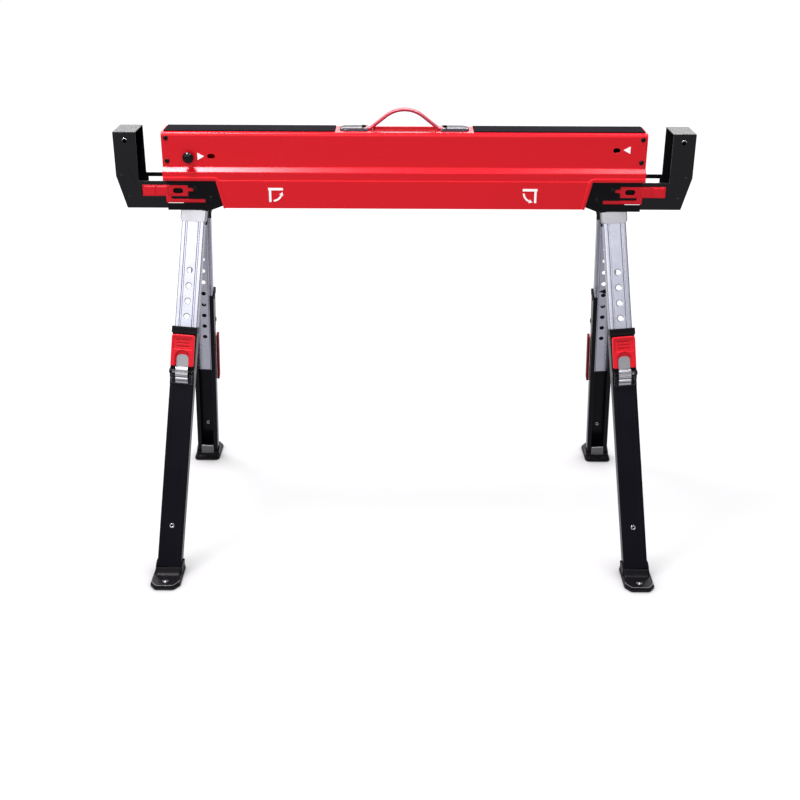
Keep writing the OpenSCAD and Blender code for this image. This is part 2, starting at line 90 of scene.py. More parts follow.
class Corner(Enum):
    """The four legs: sign of x, sign of y, and the letters that end their names."""

    FRONT_LEFT = (-1, -1, "fl")
    FRONT_RIGHT = (1, -1, "fr")
    REAR_LEFT = (-1, 1, "rl")
    REAR_RIGHT = (1, 1, "rr")

    @property
    def tail(self) -> str:
        """Letters that end the leg's node and body names."""
        return self.value[2]


class Side(Enum):
    """The two ends of the beam and the sign of x there."""

    LEFT = -1
    RIGHT = 1

    @property
    def word(self) -> str:
        """Word that ends the node and body names of this end."""
        return self.name.lower()


class Lay(Enum):
    """How a shape drawn in (u, v) with depth w is set up: rows give x, y and z."""

    WALL = ((1, 0, 0), (0, 0, 1), (0, -1, 0))
    EDGE = ((0, 0, 1), (1, 0, 0), (0, -1, 0))


class Pattern(Enum):
    """Kind of surface detail that a finish carries: fine grain, rolled streaks or coarse grit."""

    GRAIN = "grain"
    PLATED = "plated"
    GRIT = "grit"


# Outlines and surfaces


def rounded(points: Array, radius: float | Array, steps: int = 5, closed: bool = True) -> Array:
    """Outline with each corner replaced by a parabolic arc between its two tangent points.

    Args:
        points: corners, one row each.
        radius: corner radius, one for all or one each.
        steps: spans per arc.
        closed: False for an open line, whose two ends stay as they are.
    Returns:
        Rows of the rounded outline.
    """
    p = np.asarray(points, float)
    before, after = np.roll(p, 1, 0) - p, np.roll(p, -1, 0) - p
    l1 = np.linalg.norm(before, axis=1)
    l2 = np.linalg.norm(after, axis=1)
    d1, d2 = before / l1[:, None], after / l2[:, None]
    half = np.arccos(np.clip((d1 * d2).sum(1), -1, 1)) / 2
    reach = np.minimum(np.asarray(radius) / np.tan(np.maximum(half, 1e-3)), 0.48 * np.minimum(l1, l2))
    if not closed:
        reach[[0, -1]] = 0
    u = np.linspace(0, 1, steps + 1)[None, :, None]
    a, b = (p + d1 * reach[:, None])[:, None], (p + d2 * reach[:, None])[:, None]
    arcs = (1 - u) ** 2 * a + 2 * u * (1 - u) * p[:, None] + u**2 * b
    flat = arcs.reshape(-1, p.shape[1])
    step = np.linalg.norm(flat - np.roll(flat, 1, 0), axis=1)
    step[0] = 1 if not closed else step[0]
    return flat[step > 1e-6]


def box_outline(u0: float, u1: float, v0: float, v1: float) -> Array:
    """Corners of a rectangle by its limits."""
    return np.array([[u0, v0], [u1, v0], [u1, v1], [u0, v1]], float)


def disc(u: float, v: float, radius: float, steps: int = 32) -> Array:
    """Points of a circle about (u, v)."""
    a = np.linspace(0, 2 * math.pi, steps, endpoint=False)
    return np.c_[u + radius * np.cos(a), v + radius * np.sin(a)]


def slot(u: float, v: float, length: float, height: float, steps: int = 12) -> Array:
    """Outline with straight long sides and half-round ends about (u, v)."""
    a = np.linspace(-math.pi / 2, math.pi / 2, steps)
    arc = np.c_[np.cos(a), np.sin(a)] * height / 2
    shift = np.array([(length - height) / 2, 0])
    return np.r_[arc + shift, -arc - shift] + (u, v)


def inset(outline: Array, depth: float) -> Array:
    """Closed outline moved inwards by depth, or out below zero, along the mitres of its corners."""
    edge = np.roll(outline, -1, 0) - outline
    normal = np.c_[-edge[:, 1], edge[:, 0]] / np.linalg.norm(edge, axis=1)[:, None]
    area = (outline[:, 0] * np.roll(outline[:, 1], -1) - outline[:, 1] * np.roll(outline[:, 0], -1)).sum()
    last = np.roll(normal, 1, 0)
    mitre = (normal + last) / np.maximum(1 + (normal * last).sum(1), 0.2)[:, None]
    return outline + math.copysign(1.0, area) * depth * mitre


def resampled(outline: Array, count: int) -> Array:
    """Closed outline as count points at even distances round it."""
    ring = np.r_[outline, outline[:1]]
    along = np.r_[0, np.cumsum(np.linalg.norm(np.diff(ring, axis=0), axis=1))]
    even = np.linspace(0, along[-1], count, endpoint=False)
    return np.c_[np.interp(even, along, ring[:, 0]), np.interp(even, along, ring[:, 1])]


def tangents(line: Array) -> Array:
    """Mean direction of an open line at each of its points."""
    run = np.gradient(line, axis=0)
    return run / np.linalg.norm(run, axis=1)[:, None]


def mirrored(half: Array) -> Array:
    """Right half of a line, from the middle outwards, with its mirror image before it."""
    return np.r_[half[::-1] * (-1, 1), half]


def folded(corner: Array, radius: float | Array, steps: int, thick: float) -> Array:
    """Section of a bent sheet: an open line with rounded corners, thickened to its left."""
    line = rounded(corner, radius, steps, closed=False)
    along = tangents(line)
    return np.r_[line, (line + thick * np.c_[-along[:, 1], along[:, 0]])[::-1]]


@dataclass
class Skin:
    """A surface as points and blocks of faces, each block with one corner count."""

    points: Array
    blocks: list[Array] = field(default_factory=list)

    def laid(self, lay: Lay, origin: Point = (0, 0, 0)) -> Skin:
        """The same surface with (u, v, w) turned into x, y and z about an origin."""
        return Skin(self.points @ np.array(lay.value, float).T + np.array(origin, float), self.blocks)

    def put(self, matrix: Array) -> Skin:
        """The same surface through a 4 by 4 matrix."""
        return Skin(self.points @ matrix[:3, :3].T + matrix[:3, 3], self.blocks)

    def __add__(self, other: Skin) -> Skin:
        """Both surfaces as one."""
        shift = len(self.points)
        return Skin(np.r_[self.points, other.points], self.blocks + [b + shift for b in other.blocks])


def loft(rings: Array) -> Skin:
    """Closed rings joined one to the next by quads, with a flat face at each end.

    Args:
        rings: array of ring, point, coordinate.
    Returns:
        The lofted surface.
    """
    count, size = rings.shape[:2]
    row, col = np.arange(count - 1)[:, None] * size, np.arange(size)[None]
    after = (col + 1) % size
    quads = np.stack([row + col, row + after, row + size + after, row + size + col], -1).reshape(-1, 4)
    ends = [np.arange(size)[None, ::-1], (count - 1) * size + np.arange(size)[None]]
    return Skin(rings.reshape(-1, 3), [quads, *ends])


def prism(outline: Array, levels: list[tuple[float, float]]) -> Skin:
    """Outline carried through levels of (height, inset), closed at both ends."""
    moved = [inset(outline, depth) if depth else outline for _, depth in levels]
    return loft(np.array([np.c_[ring, np.full(len(ring), w)] for ring, (w, _) in zip(moved, levels)]))


def slab(outline: Array, w0: float, w1: float, edge: float = 0.0) -> Skin:
    """Outline made solid from w0 to w1, with both rims cut back by edge."""
    if not edge:
        return prism(outline, [(w0, 0), (w1, 0)])
    soft = edge * 0.3
    levels = [(w0, edge), (w0 + soft, soft), (w0 + edge, 0), (w1 - edge, 0), (w1 - soft, soft), (w1, edge)]
    return prism(outline, levels)


def turned(corner: Array, radius: float, steps: int) -> Skin:
    """Line of (radius, height) with rounded corners, carried round the w axis and closed at its ends."""
    profile = rounded(corner, radius, 4, closed=False)
    a = np.linspace(0, 2 * math.pi, steps, endpoint=False)
    r, w = np.maximum(profile[:, 0], AXIS_RADIUS)[:, None], profile[:, 1][:, None]
    return loft(np.stack([r * np.cos(a), r * np.sin(a), w + 0 * a], -1))


def swept(profile: Array, path: Array, across: Array) -> Skin:
    """Closed profile of (across, outward) carried along a path.

    Args:
        profile: rows of offset along across and along the path's own normal.
        path: rows of x, y, z.
        across: the direction that the profile's first column follows.
    Returns:
        The swept surface, its ends closed.
    """
    tangent = tangents(path)
    wide = np.asarray(across, float) - tangent * (tangent @ across)[:, None]
    wide /= np.linalg.norm(wide, axis=1)[:, None]
    out = np.cross(wide, tangent)
    return loft(path[:, None] + profile[None, :, :1] * wide[:, None] + profile[None, :, 1:] * out[:, None])


def bead(path: Array, out: Point, width: float, rise: float) -> Skin:
    """Low half-ellipse carried along a path on a flat face.

    Args:
        path: rows of x, y, z on the face.
        out: the face's outward direction.
        width: width of the hump at its foot.
        rise: its height above the face.
    Returns:
        The hump with its foot sunk a little into the face.
    """
    a = np.linspace(0, math.pi, 9)
    half, sink = width / 2, min(BEAD_SINK, rise)
    hump = np.r_[np.c_[half * np.cos(a), rise * np.sin(a)], [[-half, -sink], [half, -sink]]]
    up = np.tile(np.array(out, float), (len(path), 1))
    wide = np.cross(up, tangents(path))
    return loft(path[:, None] + hump[None, :, :1] * wide[:, None] + hump[None, :, 1:] * up[:, None])


def placing(turn: Array, at: Point | Array = (0, 0, 0)) -> Array:
    """Matrix of a turn, given as 3 by 3, and a shift."""
    made = np.eye(4)
    made[:3, :3], made[:3, 3] = turn, at
    return made


def facing(turn: int, at: Point) -> Array:
    """Matrix that sets a shape drawn along w on the front face, or for turn -1 on the rear one."""
    return placing(np.array([[turn, 0, 0], [0, 0, -turn], [0, 1, 0]]), at)


def ramp(value: Array, zero: float, one: float) -> Array:
    """Straight rise from 0 to 1 between two values, level outside them."""
    return np.clip((value - zero) / (one - zero), 0, 1)


def joined(skins: list[Skin]) -> Skin:
    """All skins as one."""
    whole = skins[0]
    for more in skins[1:]:
        whole = whole + more
    return whole


def extruded(profile: Array, axis_points: Array) -> Skin:
    """Closed profile of (first, second) repeated at each value along the third coordinate."""
    return loft(np.stack([np.c_[profile, np.full(len(profile), w)] for w in axis_points]))


def linked(name: str, data: bpy.types.ID) -> bpy.types.Object:
    """New object of a mesh, lamp or camera, put into the scene."""
    obj = bpy.data.objects.new(name, data)
    bpy.context.scene.collection.objects.link(obj)
    return obj


# Finishes


def fill(node: Node, values: dict[str | int, object]) -> None:
    """Sets the values of a node's inputs."""
    for name, value in values.items():
        node.inputs[name].default_value = value


@dataclass
class Wiring:
    """A node tree with short ways to add, set and link its nodes."""

    tree: Tree

    def node(self, kind: str, values: dict[str | int, object] | None = None, **fields: object) -> Node:
        """New node of a kind such as TexNoise, with its own fields and the values of its inputs set."""
        made = self.tree.nodes.new("ShaderNode" + kind)
        for name, value in fields.items():
            setattr(made, name, value)
        fill(made, values or {})
        return made

    def link(self, source: Node, out: str | int, target: Node, into: str | int) -> None:
        """Links an output of one node to an input of another."""
        self.tree.links.new(source.outputs[out], target.inputs[into])

    def ranged(self, limits: tuple[float, float, float, float], **fields: object) -> Node:
        """New node that maps the span of the first two limits on to that of the last two."""
        names = ("From Min", "From Max", "To Min", "To Max")
        return self.node("MapRange", dict(zip(names, limits)), **fields)

    def mixed(self, share: Socket, first: Colour | Socket, second: Colour) -> Socket:
        """Colour that goes from the first, a colour or a socket, to the second with the share."""
        made = self.node("Mix", {MIX_SECOND: (*second, 1)}, data_type="RGBA")
        if isinstance(first, tuple):
            fill(made, {MIX_FIRST: (*first, 1)})
        else:
            self.tree.links.new(first, made.inputs[MIX_FIRST])
        self.tree.links.new(share, made.inputs[MIX_SHARE])
        return made.outputs[MIX_RESULT]

    def grouped(self, group: Tree, vector: Socket, values: dict[str, float]) -> Node:
        """New node of a shader group, with its Vector linked and its numbers set."""
        made = self.node("Group", values, node_tree=group)
        self.tree.links.new(vector, made.inputs["Vector"])
        return made


class Effects:
    """Shader groups that several finishes share, each made once."""

    def __init__(self) -> None:
        """Makes the three groups."""
        self.grain = self._grain()
        self.wear = self._wear()
        self.streaks = self._streaks()

    @staticmethod
    def _group(name: str, inputs: dict[str, float], outputs: tuple[str, ...]) -> tuple[Wiring, Node, Node]:
        """Empty shader group with a Vector input and named number sockets.

        Args:
            name: group name.
            inputs: default of each number input.
            outputs: names of the number outputs.
        Returns:
            The group's wiring, its input node and its output node.
        """
        tree = bpy.data.node_groups.new(name, "ShaderNodeTree")
        tree.interface.new_socket("Vector", in_out="INPUT", socket_type="NodeSocketVector")
        for label, value in inputs.items():
            socket = tree.interface.new_socket(label, in_out="INPUT", socket_type="NodeSocketFloat")
            socket.default_value = value
        for label in outputs:
            tree.interface.new_socket(label, in_out="OUTPUT", socket_type="NodeSocketFloat")
        return Wiring(tree), tree.nodes.new("NodeGroupInput"), tree.nodes.new("NodeGroupOutput")

    def _grain(self) -> Tree:
        """Even noise as a height, and a broad slow noise as a mask."""
        wires, ins, outs = self._group("surface_grain", {"Fine": 900, "Broad": 9}, ("Height", "Mask"))
        for label, scale, spread in (("Height", "Fine", (0.25, 0.75)), ("Mask", "Broad", (0.12, 0.88))):
            noise = wires.node("TexNoise", {"Detail": 3.0, "Roughness": 0.55})
            span = wires.ranged((*spread, 0, 1))
            wires.link(ins, "Vector", noise, "Vector")
            wires.link(ins, scale, noise, "Scale")
            wires.link(noise, "Fac", span, "Value")
            wires.link(span, "Result", outs, label)
        return wires.tree

    def _wear(self) -> Tree:
        """Mask of edges that show a lighter colour, where a rounded normal leaves the true one, broken by
        noise: partly rubbed wear, partly a painted edge highlight.
        """
        wires, ins, outs = self._group("edge_wear", {"Radius": 0.001, "Amount": 0.5}, ("Mask",))
        bevel, geometry = wires.node("Bevel", samples=4), wires.node("NewGeometry")
        dot = wires.node("VectorMath", operation="DOT_PRODUCT")
        noise = wires.node("TexNoise", {"Scale": 160, "Detail": 5})
        span = wires.ranged((0.995, 0.8, 0, 1))
        broken = wires.node("Math", operation="MULTIPLY")
        share = wires.node("Math", operation="MULTIPLY")
        wires.link(ins, "Radius", bevel, "Radius")
        wires.link(bevel, "Normal", dot, 0)
        wires.link(geometry, "Normal", dot, 1)
        wires.link(dot, "Value", span, "Value")
        wires.link(ins, "Vector", noise, "Vector")
        wires.link(span, "Result", broken, 0)
        wires.link(noise, "Fac", broken, 1)
        wires.link(broken, "Value", share, 0)
        wires.link(ins, "Amount", share, 1)
        wires.link(share, "Value", outs, "Mask")
        return wires.tree

    def _streaks(self) -> Tree:
        """Fine lines along the third coordinate: noise squeezed by a per-axis stretch."""
        wires, ins, outs = self._group("rolled_streaks", {"Scale": 700}, ("Height", "Mask"))
        squeeze = wires.node("Mapping", {"Scale": (1, 1, 0.015)})
        noise = wires.node("TexNoise", {"Detail": 4})
        cloud = wires.node("TexNoise", {"Scale": 38, "Detail": 3})
        wires.link(ins, "Vector", squeeze, "Vector")
        wires.link(squeeze, "Vector", noise, "Vector")
        wires.link(ins, "Scale", noise, "Scale")
        wires.link(ins, "Vector", cloud, "Vector")
        wires.link(noise, "Fac", outs, "Height")
        wires.link(cloud, "Fac", outs, "Mask")
        return wires.tree


@dataclass(frozen=True)
class Finish:
    """One finish: its colours, gloss and the detail that it carries.

    Colours are linear. rough is the range that the broad mask moves through, bump the depth of
    the fine detail in millimetres, fine its count per metre, and the wear share is the share of the
    edges that show the lighter edge colour, which is partly wear and partly a painted edge highlight.
    """

    name: str
    slot: str
    base: Colour
    second: Colour
    rough: tuple[float, float]
    pattern: Pattern = Pattern.GRAIN
    metallic: float = 0.0
    specular: float = 0.5
    bump: float = 0.01
    fine: float = 700.0
    broad: float = 8.0
    worn: Colour = (0.5, 0.5, 0.5)
    wear: float = 0.0
    laid: bool = False

    def material(self, effects: Effects) -> bpy.types.Material:
        """Builds the node material of this finish.

        Args:
            effects: the shared shader groups.
        Returns:
            The new material.
        """
        made = bpy.data.materials.new(self.name)
        made.use_nodes = True
        wires, shader = Wiring(made.node_tree), made.node_tree.nodes["Principled BSDF"]
        fill(shader, {"Metallic": self.metallic, "Specular IOR Level": self.specular})
        if self.laid:
            vector = wires.node("Attribute", attribute_name="lay").outputs["Vector"]
        else:
            vector = wires.node("TexCoord").outputs["Object"]
        if self.pattern is Pattern.PLATED:
            detail = wires.grouped(effects.streaks, vector, {"Scale": self.fine})
        else:
            detail = wires.grouped(effects.grain, vector, {"Fine": self.fine, "Broad": self.broad})
        share = detail.outputs["Height" if self.pattern is Pattern.GRIT else "Mask"]
        colour = wires.mixed(share, self.base, self.second)
        # Lighter colour along the edges: partly wear, partly a painted edge highlight.
        if self.wear:
            rub_and_highlight = wires.grouped(effects.wear, vector, {"Radius": WEAR_AND_HIGHLIGHT_RADIUS, "Amount": self.wear})
            colour = wires.mixed(rub_and_highlight.outputs["Mask"], colour, self.worn)
        wires.tree.links.new(colour, shader.inputs["Base Color"])
        gloss = wires.ranged((0, 1, *self.rough))
        wires.link(detail, "Mask", gloss, "Value")
        wires.link(gloss, "Result", shader, "Roughness")
        relief = wires.node("Bump", {"Strength": 1.0, "Distance": self.bump * MM})
        wires.link(detail, "Height", relief, "Height")
        wires.link(relief, "Normal", shader, "Normal")
        return made


FINISHES = (
    Finish("red_paint", "red_paint", (0.615, 0.005, 0.0133), (0.59, 0.0048, 0.0125), (0.25, 0.29),
           specular=0.22, bump=0.010, fine=420, broad=5, worn=(0.66, 0.07, 0.08), wear=0.35),
    Finish("red_plastic", "red_plastic", (0.61, 0.0065, 0.0175), (0.55, 0.0055, 0.0145), (0.32, 0.42),
           specular=0.2, bump=0.02, fine=1300, broad=20,
           worn=(0.66, 0.08, 0.09), wear=0.3),
    # Darker copy of the red paint: painted shade in the strap tray.
    Finish("well_red", "red_paint", (0.36, 0.003, 0.008), (0.32, 0.0026, 0.007), (0.40, 0.50),
           specular=0.2, bump=0.010, fine=420, broad=5),
    # Darker copy of the red plastic: painted shade on the rear legs' edge guards.
    Finish("guard_red", "red_plastic", (0.17, 0.0018, 0.007), (0.15, 0.0015, 0.006), (0.40, 0.50),
           specular=0.12, bump=0.02, fine=1300, broad=20),
    Finish("strap_red", "strap", (0.36, 0.016, 0.042), (0.32, 0.014, 0.036), (0.28, 0.38),
           specular=0.24, bump=0.02, fine=1100, broad=30),
    Finish("black_steel", "black_steel", (0.0045, 0.0042, 0.006), (0.007, 0.0066, 0.009), (0.26, 0.38),
           specular=0.2, bump=0.012, fine=520, broad=9, worn=(0.07, 0.07, 0.078), wear=0.5),
    Finish("black_steel_leg", "black_steel", (0.0038, 0.0035, 0.0060), (0.0058, 0.0053, 0.0085),
           (0.18, 0.28), specular=0.06, bump=0.010, fine=520, broad=9,
           worn=(0.06, 0.06, 0.068), wear=0.45, laid=True),
    Finish("black_plastic", "black_plastic", (0.0035, 0.0033, 0.0045), (0.006, 0.0057, 0.007), (0.30, 0.42),
           specular=0.06, bump=0.03, fine=1500, broad=25,
           worn=(0.045, 0.045, 0.05), wear=0.35),
    # Grey copy of the black plastic: painted light on the foot's inner panel and a painted highlight along
    # the toe.
    Finish("foot_grey", "black_plastic", (0.105, 0.102, 0.11), (0.085, 0.083, 0.09), (0.25, 0.35),
           specular=0.3, bump=0.01, fine=1200, broad=30),
    Finish("black_gloss", "black_plastic", (0.0025, 0.0025, 0.003), (0.004, 0.004, 0.0045), (0.05, 0.10),
           specular=0.16, bump=0.004, fine=900, broad=40),
    Finish("zinc_leg", "zinc", (0.44, 0.445, 0.52), (0.37, 0.375, 0.445), (0.20, 0.32), Pattern.PLATED,
           metallic=1.0, bump=0.004, fine=900, worn=(0.75, 0.75, 0.77), wear=0.25, laid=True),
    Finish("zinc", "zinc", (0.44, 0.436, 0.462), (0.37, 0.366, 0.392), (0.34, 0.46),
           metallic=1.0, bump=0.008, fine=900, broad=40, worn=(0.7, 0.7, 0.72), wear=0.3),
    Finish("plated_dark", "zinc", (0.014, 0.0145, 0.017), (0.010, 0.0105, 0.0125), (0.16, 0.28),
           metallic=1.0, bump=0.006, fine=900, broad=50, worn=(0.6, 0.6, 0.62), wear=0.8),
    Finish("bright_steel", "steel", (0.43, 0.43, 0.45), (0.35, 0.35, 0.38), (0.08, 0.18), metallic=1.0,
           bump=0.004, fine=1200, broad=60),
    Finish("grip_pad", "grip_pad", (0.0018, 0.0016, 0.0025), (0.011, 0.010, 0.0135), (0.80, 0.95),
           Pattern.GRIT, specular=0.03, bump=0.45, fine=750, broad=14),
    Finish("cap_plastic", "cap_plastic", (0.024, 0.020, 0.027), (0.038, 0.032, 0.041), (0.16, 0.26),
           specular=0.12, bump=0.004, fine=900, broad=18),
    Finish("white_print", "red_paint", (0.95, 0.94, 0.95), (0.90, 0.89, 0.90), (0.35, 0.45), specular=0.3,
           bump=0.006, fine=600, broad=30),
)


class Bench:
    """Makes pieces: turns skins into meshes, cuts them, dresses them and hands them to the frame."""

    def __init__(self, frame: dict) -> None:
        """Keeps the loaded frame and makes the materials."""
        self.frame = frame
        effects = Effects()
        self.finish = {f.name: f for f in FINISHES}
        self.materials = {f.name: f.material(effects) for f in FINISHES}

    def mesh(self, name: str, skin: Skin) -> bpy.types.Object:
        """New object of a skin, in metres, with its faces turned outwards."""
        data = bpy.data.meshes.new(name)
        faces = [face for block in skin.blocks for face in block.tolist()]
        data.from_pydata((skin.points * MM).tolist(), [], faces)
        self._outward(data)
        return linked(name, data)

    @staticmethod
    def _outward(data: bpy.types.Mesh, merge: float = 1e-6) -> None:
        """Merges doubled points and turns the faces of closed skins outwards."""
        work = bmesh.new()
        work.from_mesh(data)
        bmesh.ops.remove_doubles(work, verts=work.verts, dist=merge)
        bmesh.ops.recalc_face_normals(work, faces=work.faces)
        work.to_mesh(data)
        work.free()

    def cut(self, obj: bpy.types.Object, cutter: Skin) -> None:
        """Takes the cutter's volume out of the object's mesh."""
        tool = self.mesh("cutter", cutter)
        mod = obj.modifiers.new("cut", "BOOLEAN")
        mod.object, mod.operation, mod.solver = tool, "DIFFERENCE", "EXACT"
        bpy.context.view_layer.update()
        made = bpy.data.meshes.new_from_object(obj.evaluated_get(bpy.context.evaluated_depsgraph_get()))
        obj.modifiers.clear()
        old, obj.data = obj.data, made
        made.name = obj.name
        bpy.data.meshes.remove(old)
        bpy.data.objects.remove(tool)

    def place(self, obj: bpy.types.Object, matrix: Array) -> None:
        """Keeps the mesh's own coordinates as its lay attribute and moves the mesh into the part's frame.

        Args:
            obj: the piece, drawn in its local frame.
            matrix: 4 by 4, in millimetres, which may mirror.
        """
        data = obj.data
        flat = np.zeros(len(data.vertices) * 3, np.float32)
        data.vertices.foreach_get("co", flat)
        data.attributes.new("lay", "FLOAT_VECTOR", "POINT").data.foreach_set("vector", flat)
        points = flat.reshape(-1, 3) @ matrix[:3, :3].T + matrix[:3, 3] * MM
        data.vertices.foreach_set("co", points.astype(np.float32).ravel())
        if np.linalg.det(matrix[:3, :3]) < 0:
            data.flip_normals()
        data.update()

    def dress(
        self, obj: bpy.types.Object, finish: str, body: str, nodes: tuple[str, ...] = (), edge: float = 0.3,
        angle: float = 32.0,
    ) -> None:
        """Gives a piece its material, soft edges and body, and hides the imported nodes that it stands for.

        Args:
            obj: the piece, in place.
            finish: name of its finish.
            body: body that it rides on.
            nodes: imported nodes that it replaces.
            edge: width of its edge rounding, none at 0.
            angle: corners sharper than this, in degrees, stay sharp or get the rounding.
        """
        data = obj.data
        data.materials.clear()
        data.materials.append(self.materials[finish])
        data.polygons.foreach_set("material_index", np.zeros(len(data.polygons), np.int32))
        data.polygons.foreach_set("use_smooth", np.ones(len(data.polygons), bool))
        data.set_sharp_from_angle(angle=math.radians(angle))
        if edge:
            mod = obj.modifiers.new("edges", "BEVEL")
            mod.width, mod.segments, mod.limit_method = edge * MM, 2, "ANGLE"
            mod.angle_limit, mod.use_clamp_overlap = math.radians(angle), True
            if "bevel_weight_edge" in data.attributes:
                mod.limit_method, mod.segments = "WEIGHT", 4
        flats = obj.modifiers.new("flats", "WEIGHTED_NORMAL")
        flats.weight, flats.keep_sharp = 100, True
        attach(obj, body)
        if nodes:
            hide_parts(*nodes)
        LOG.info("%s: %d faces on %s", obj.name, len(data.polygons), body)

    def piece(
        self, name: str, skin: Skin, finish: str, body: str, nodes: tuple[str, ...] = (),
        cuts: tuple[Skin, ...] = (), matrix: Array | None = None, edge: float = 0.3, angle: float = 32.0,
    ) -> None:
        """Mesh, cuts, placing and dressing of one piece in one go; the arguments are those of the steps."""
        obj = self.mesh(name, skin)
        for tool in cuts:
            self.cut(obj, tool)
        self.place(obj, np.eye(4) if matrix is None else matrix)
        self.dress(obj, finish, body, nodes, edge, angle)

    @staticmethod
    def bent(data: bpy.types.Mesh, on_bend: Callable[[Array], Array], share: float) -> None:
        """Marks the edges of a mesh for rounding: bends in full and other sharp edges by a share.

        Args:
            data: the mesh.
            on_bend: tells of an array of points, in millimetres, which lie on a bend.
            share: width of the other edges against the bends.
        """
        work = bmesh.new()
        work.from_mesh(data)
        sharp = np.array([edge.calc_face_angle(0.0) for edge in work.edges]) > SHARP
        work.free()
        points = np.zeros(len(data.vertices) * 3, np.float32)
        data.vertices.foreach_get("co", points)
        ends = np.zeros(len(data.edges) * 2, np.int32)
        data.edges.foreach_get("vertices", ends)
        on = on_bend(points.reshape(-1, 3) / MM)[ends.reshape(-1, 2)].all(1)
        weight = np.where(sharp & on, 1.0, np.where(sharp, share, 0.0)).astype(np.float32)
        data.attributes.new("bevel_weight_edge", "FLOAT", "EDGE").data.foreach_set("value", weight)

    def carried(
        self, node: str, finish: str, body: str, edge: float = 0.3,
        on_bend: Callable[[Array], Array] | None = None,
    ) -> None:
        """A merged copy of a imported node, its flat faces joined up, with soft edges and a finish.

        Args:
            node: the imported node's name.
            finish: name of its finish.
            body: body that it rides on.
            edge: width of the edge rounding.
            on_bend: tells which points lie on a bend, where only bends get the full rounding.
        """
        data = self.frame["nodes"][node].data.copy()
        data.name = node + "_made"
        work = bmesh.new()
        work.from_mesh(data)
        bmesh.ops.remove_doubles(work, verts=work.verts, dist=2e-6)
        bmesh.ops.dissolve_limit(work, angle_limit=math.radians(FLAT), verts=work.verts, edges=work.edges)
        work.to_mesh(data)
        work.free()
        if on_bend:
            self.bent(data, on_bend, 0.3)
        self.dress(linked(data.name, data), finish, body, (node,), edge)


# Sub-assemblies


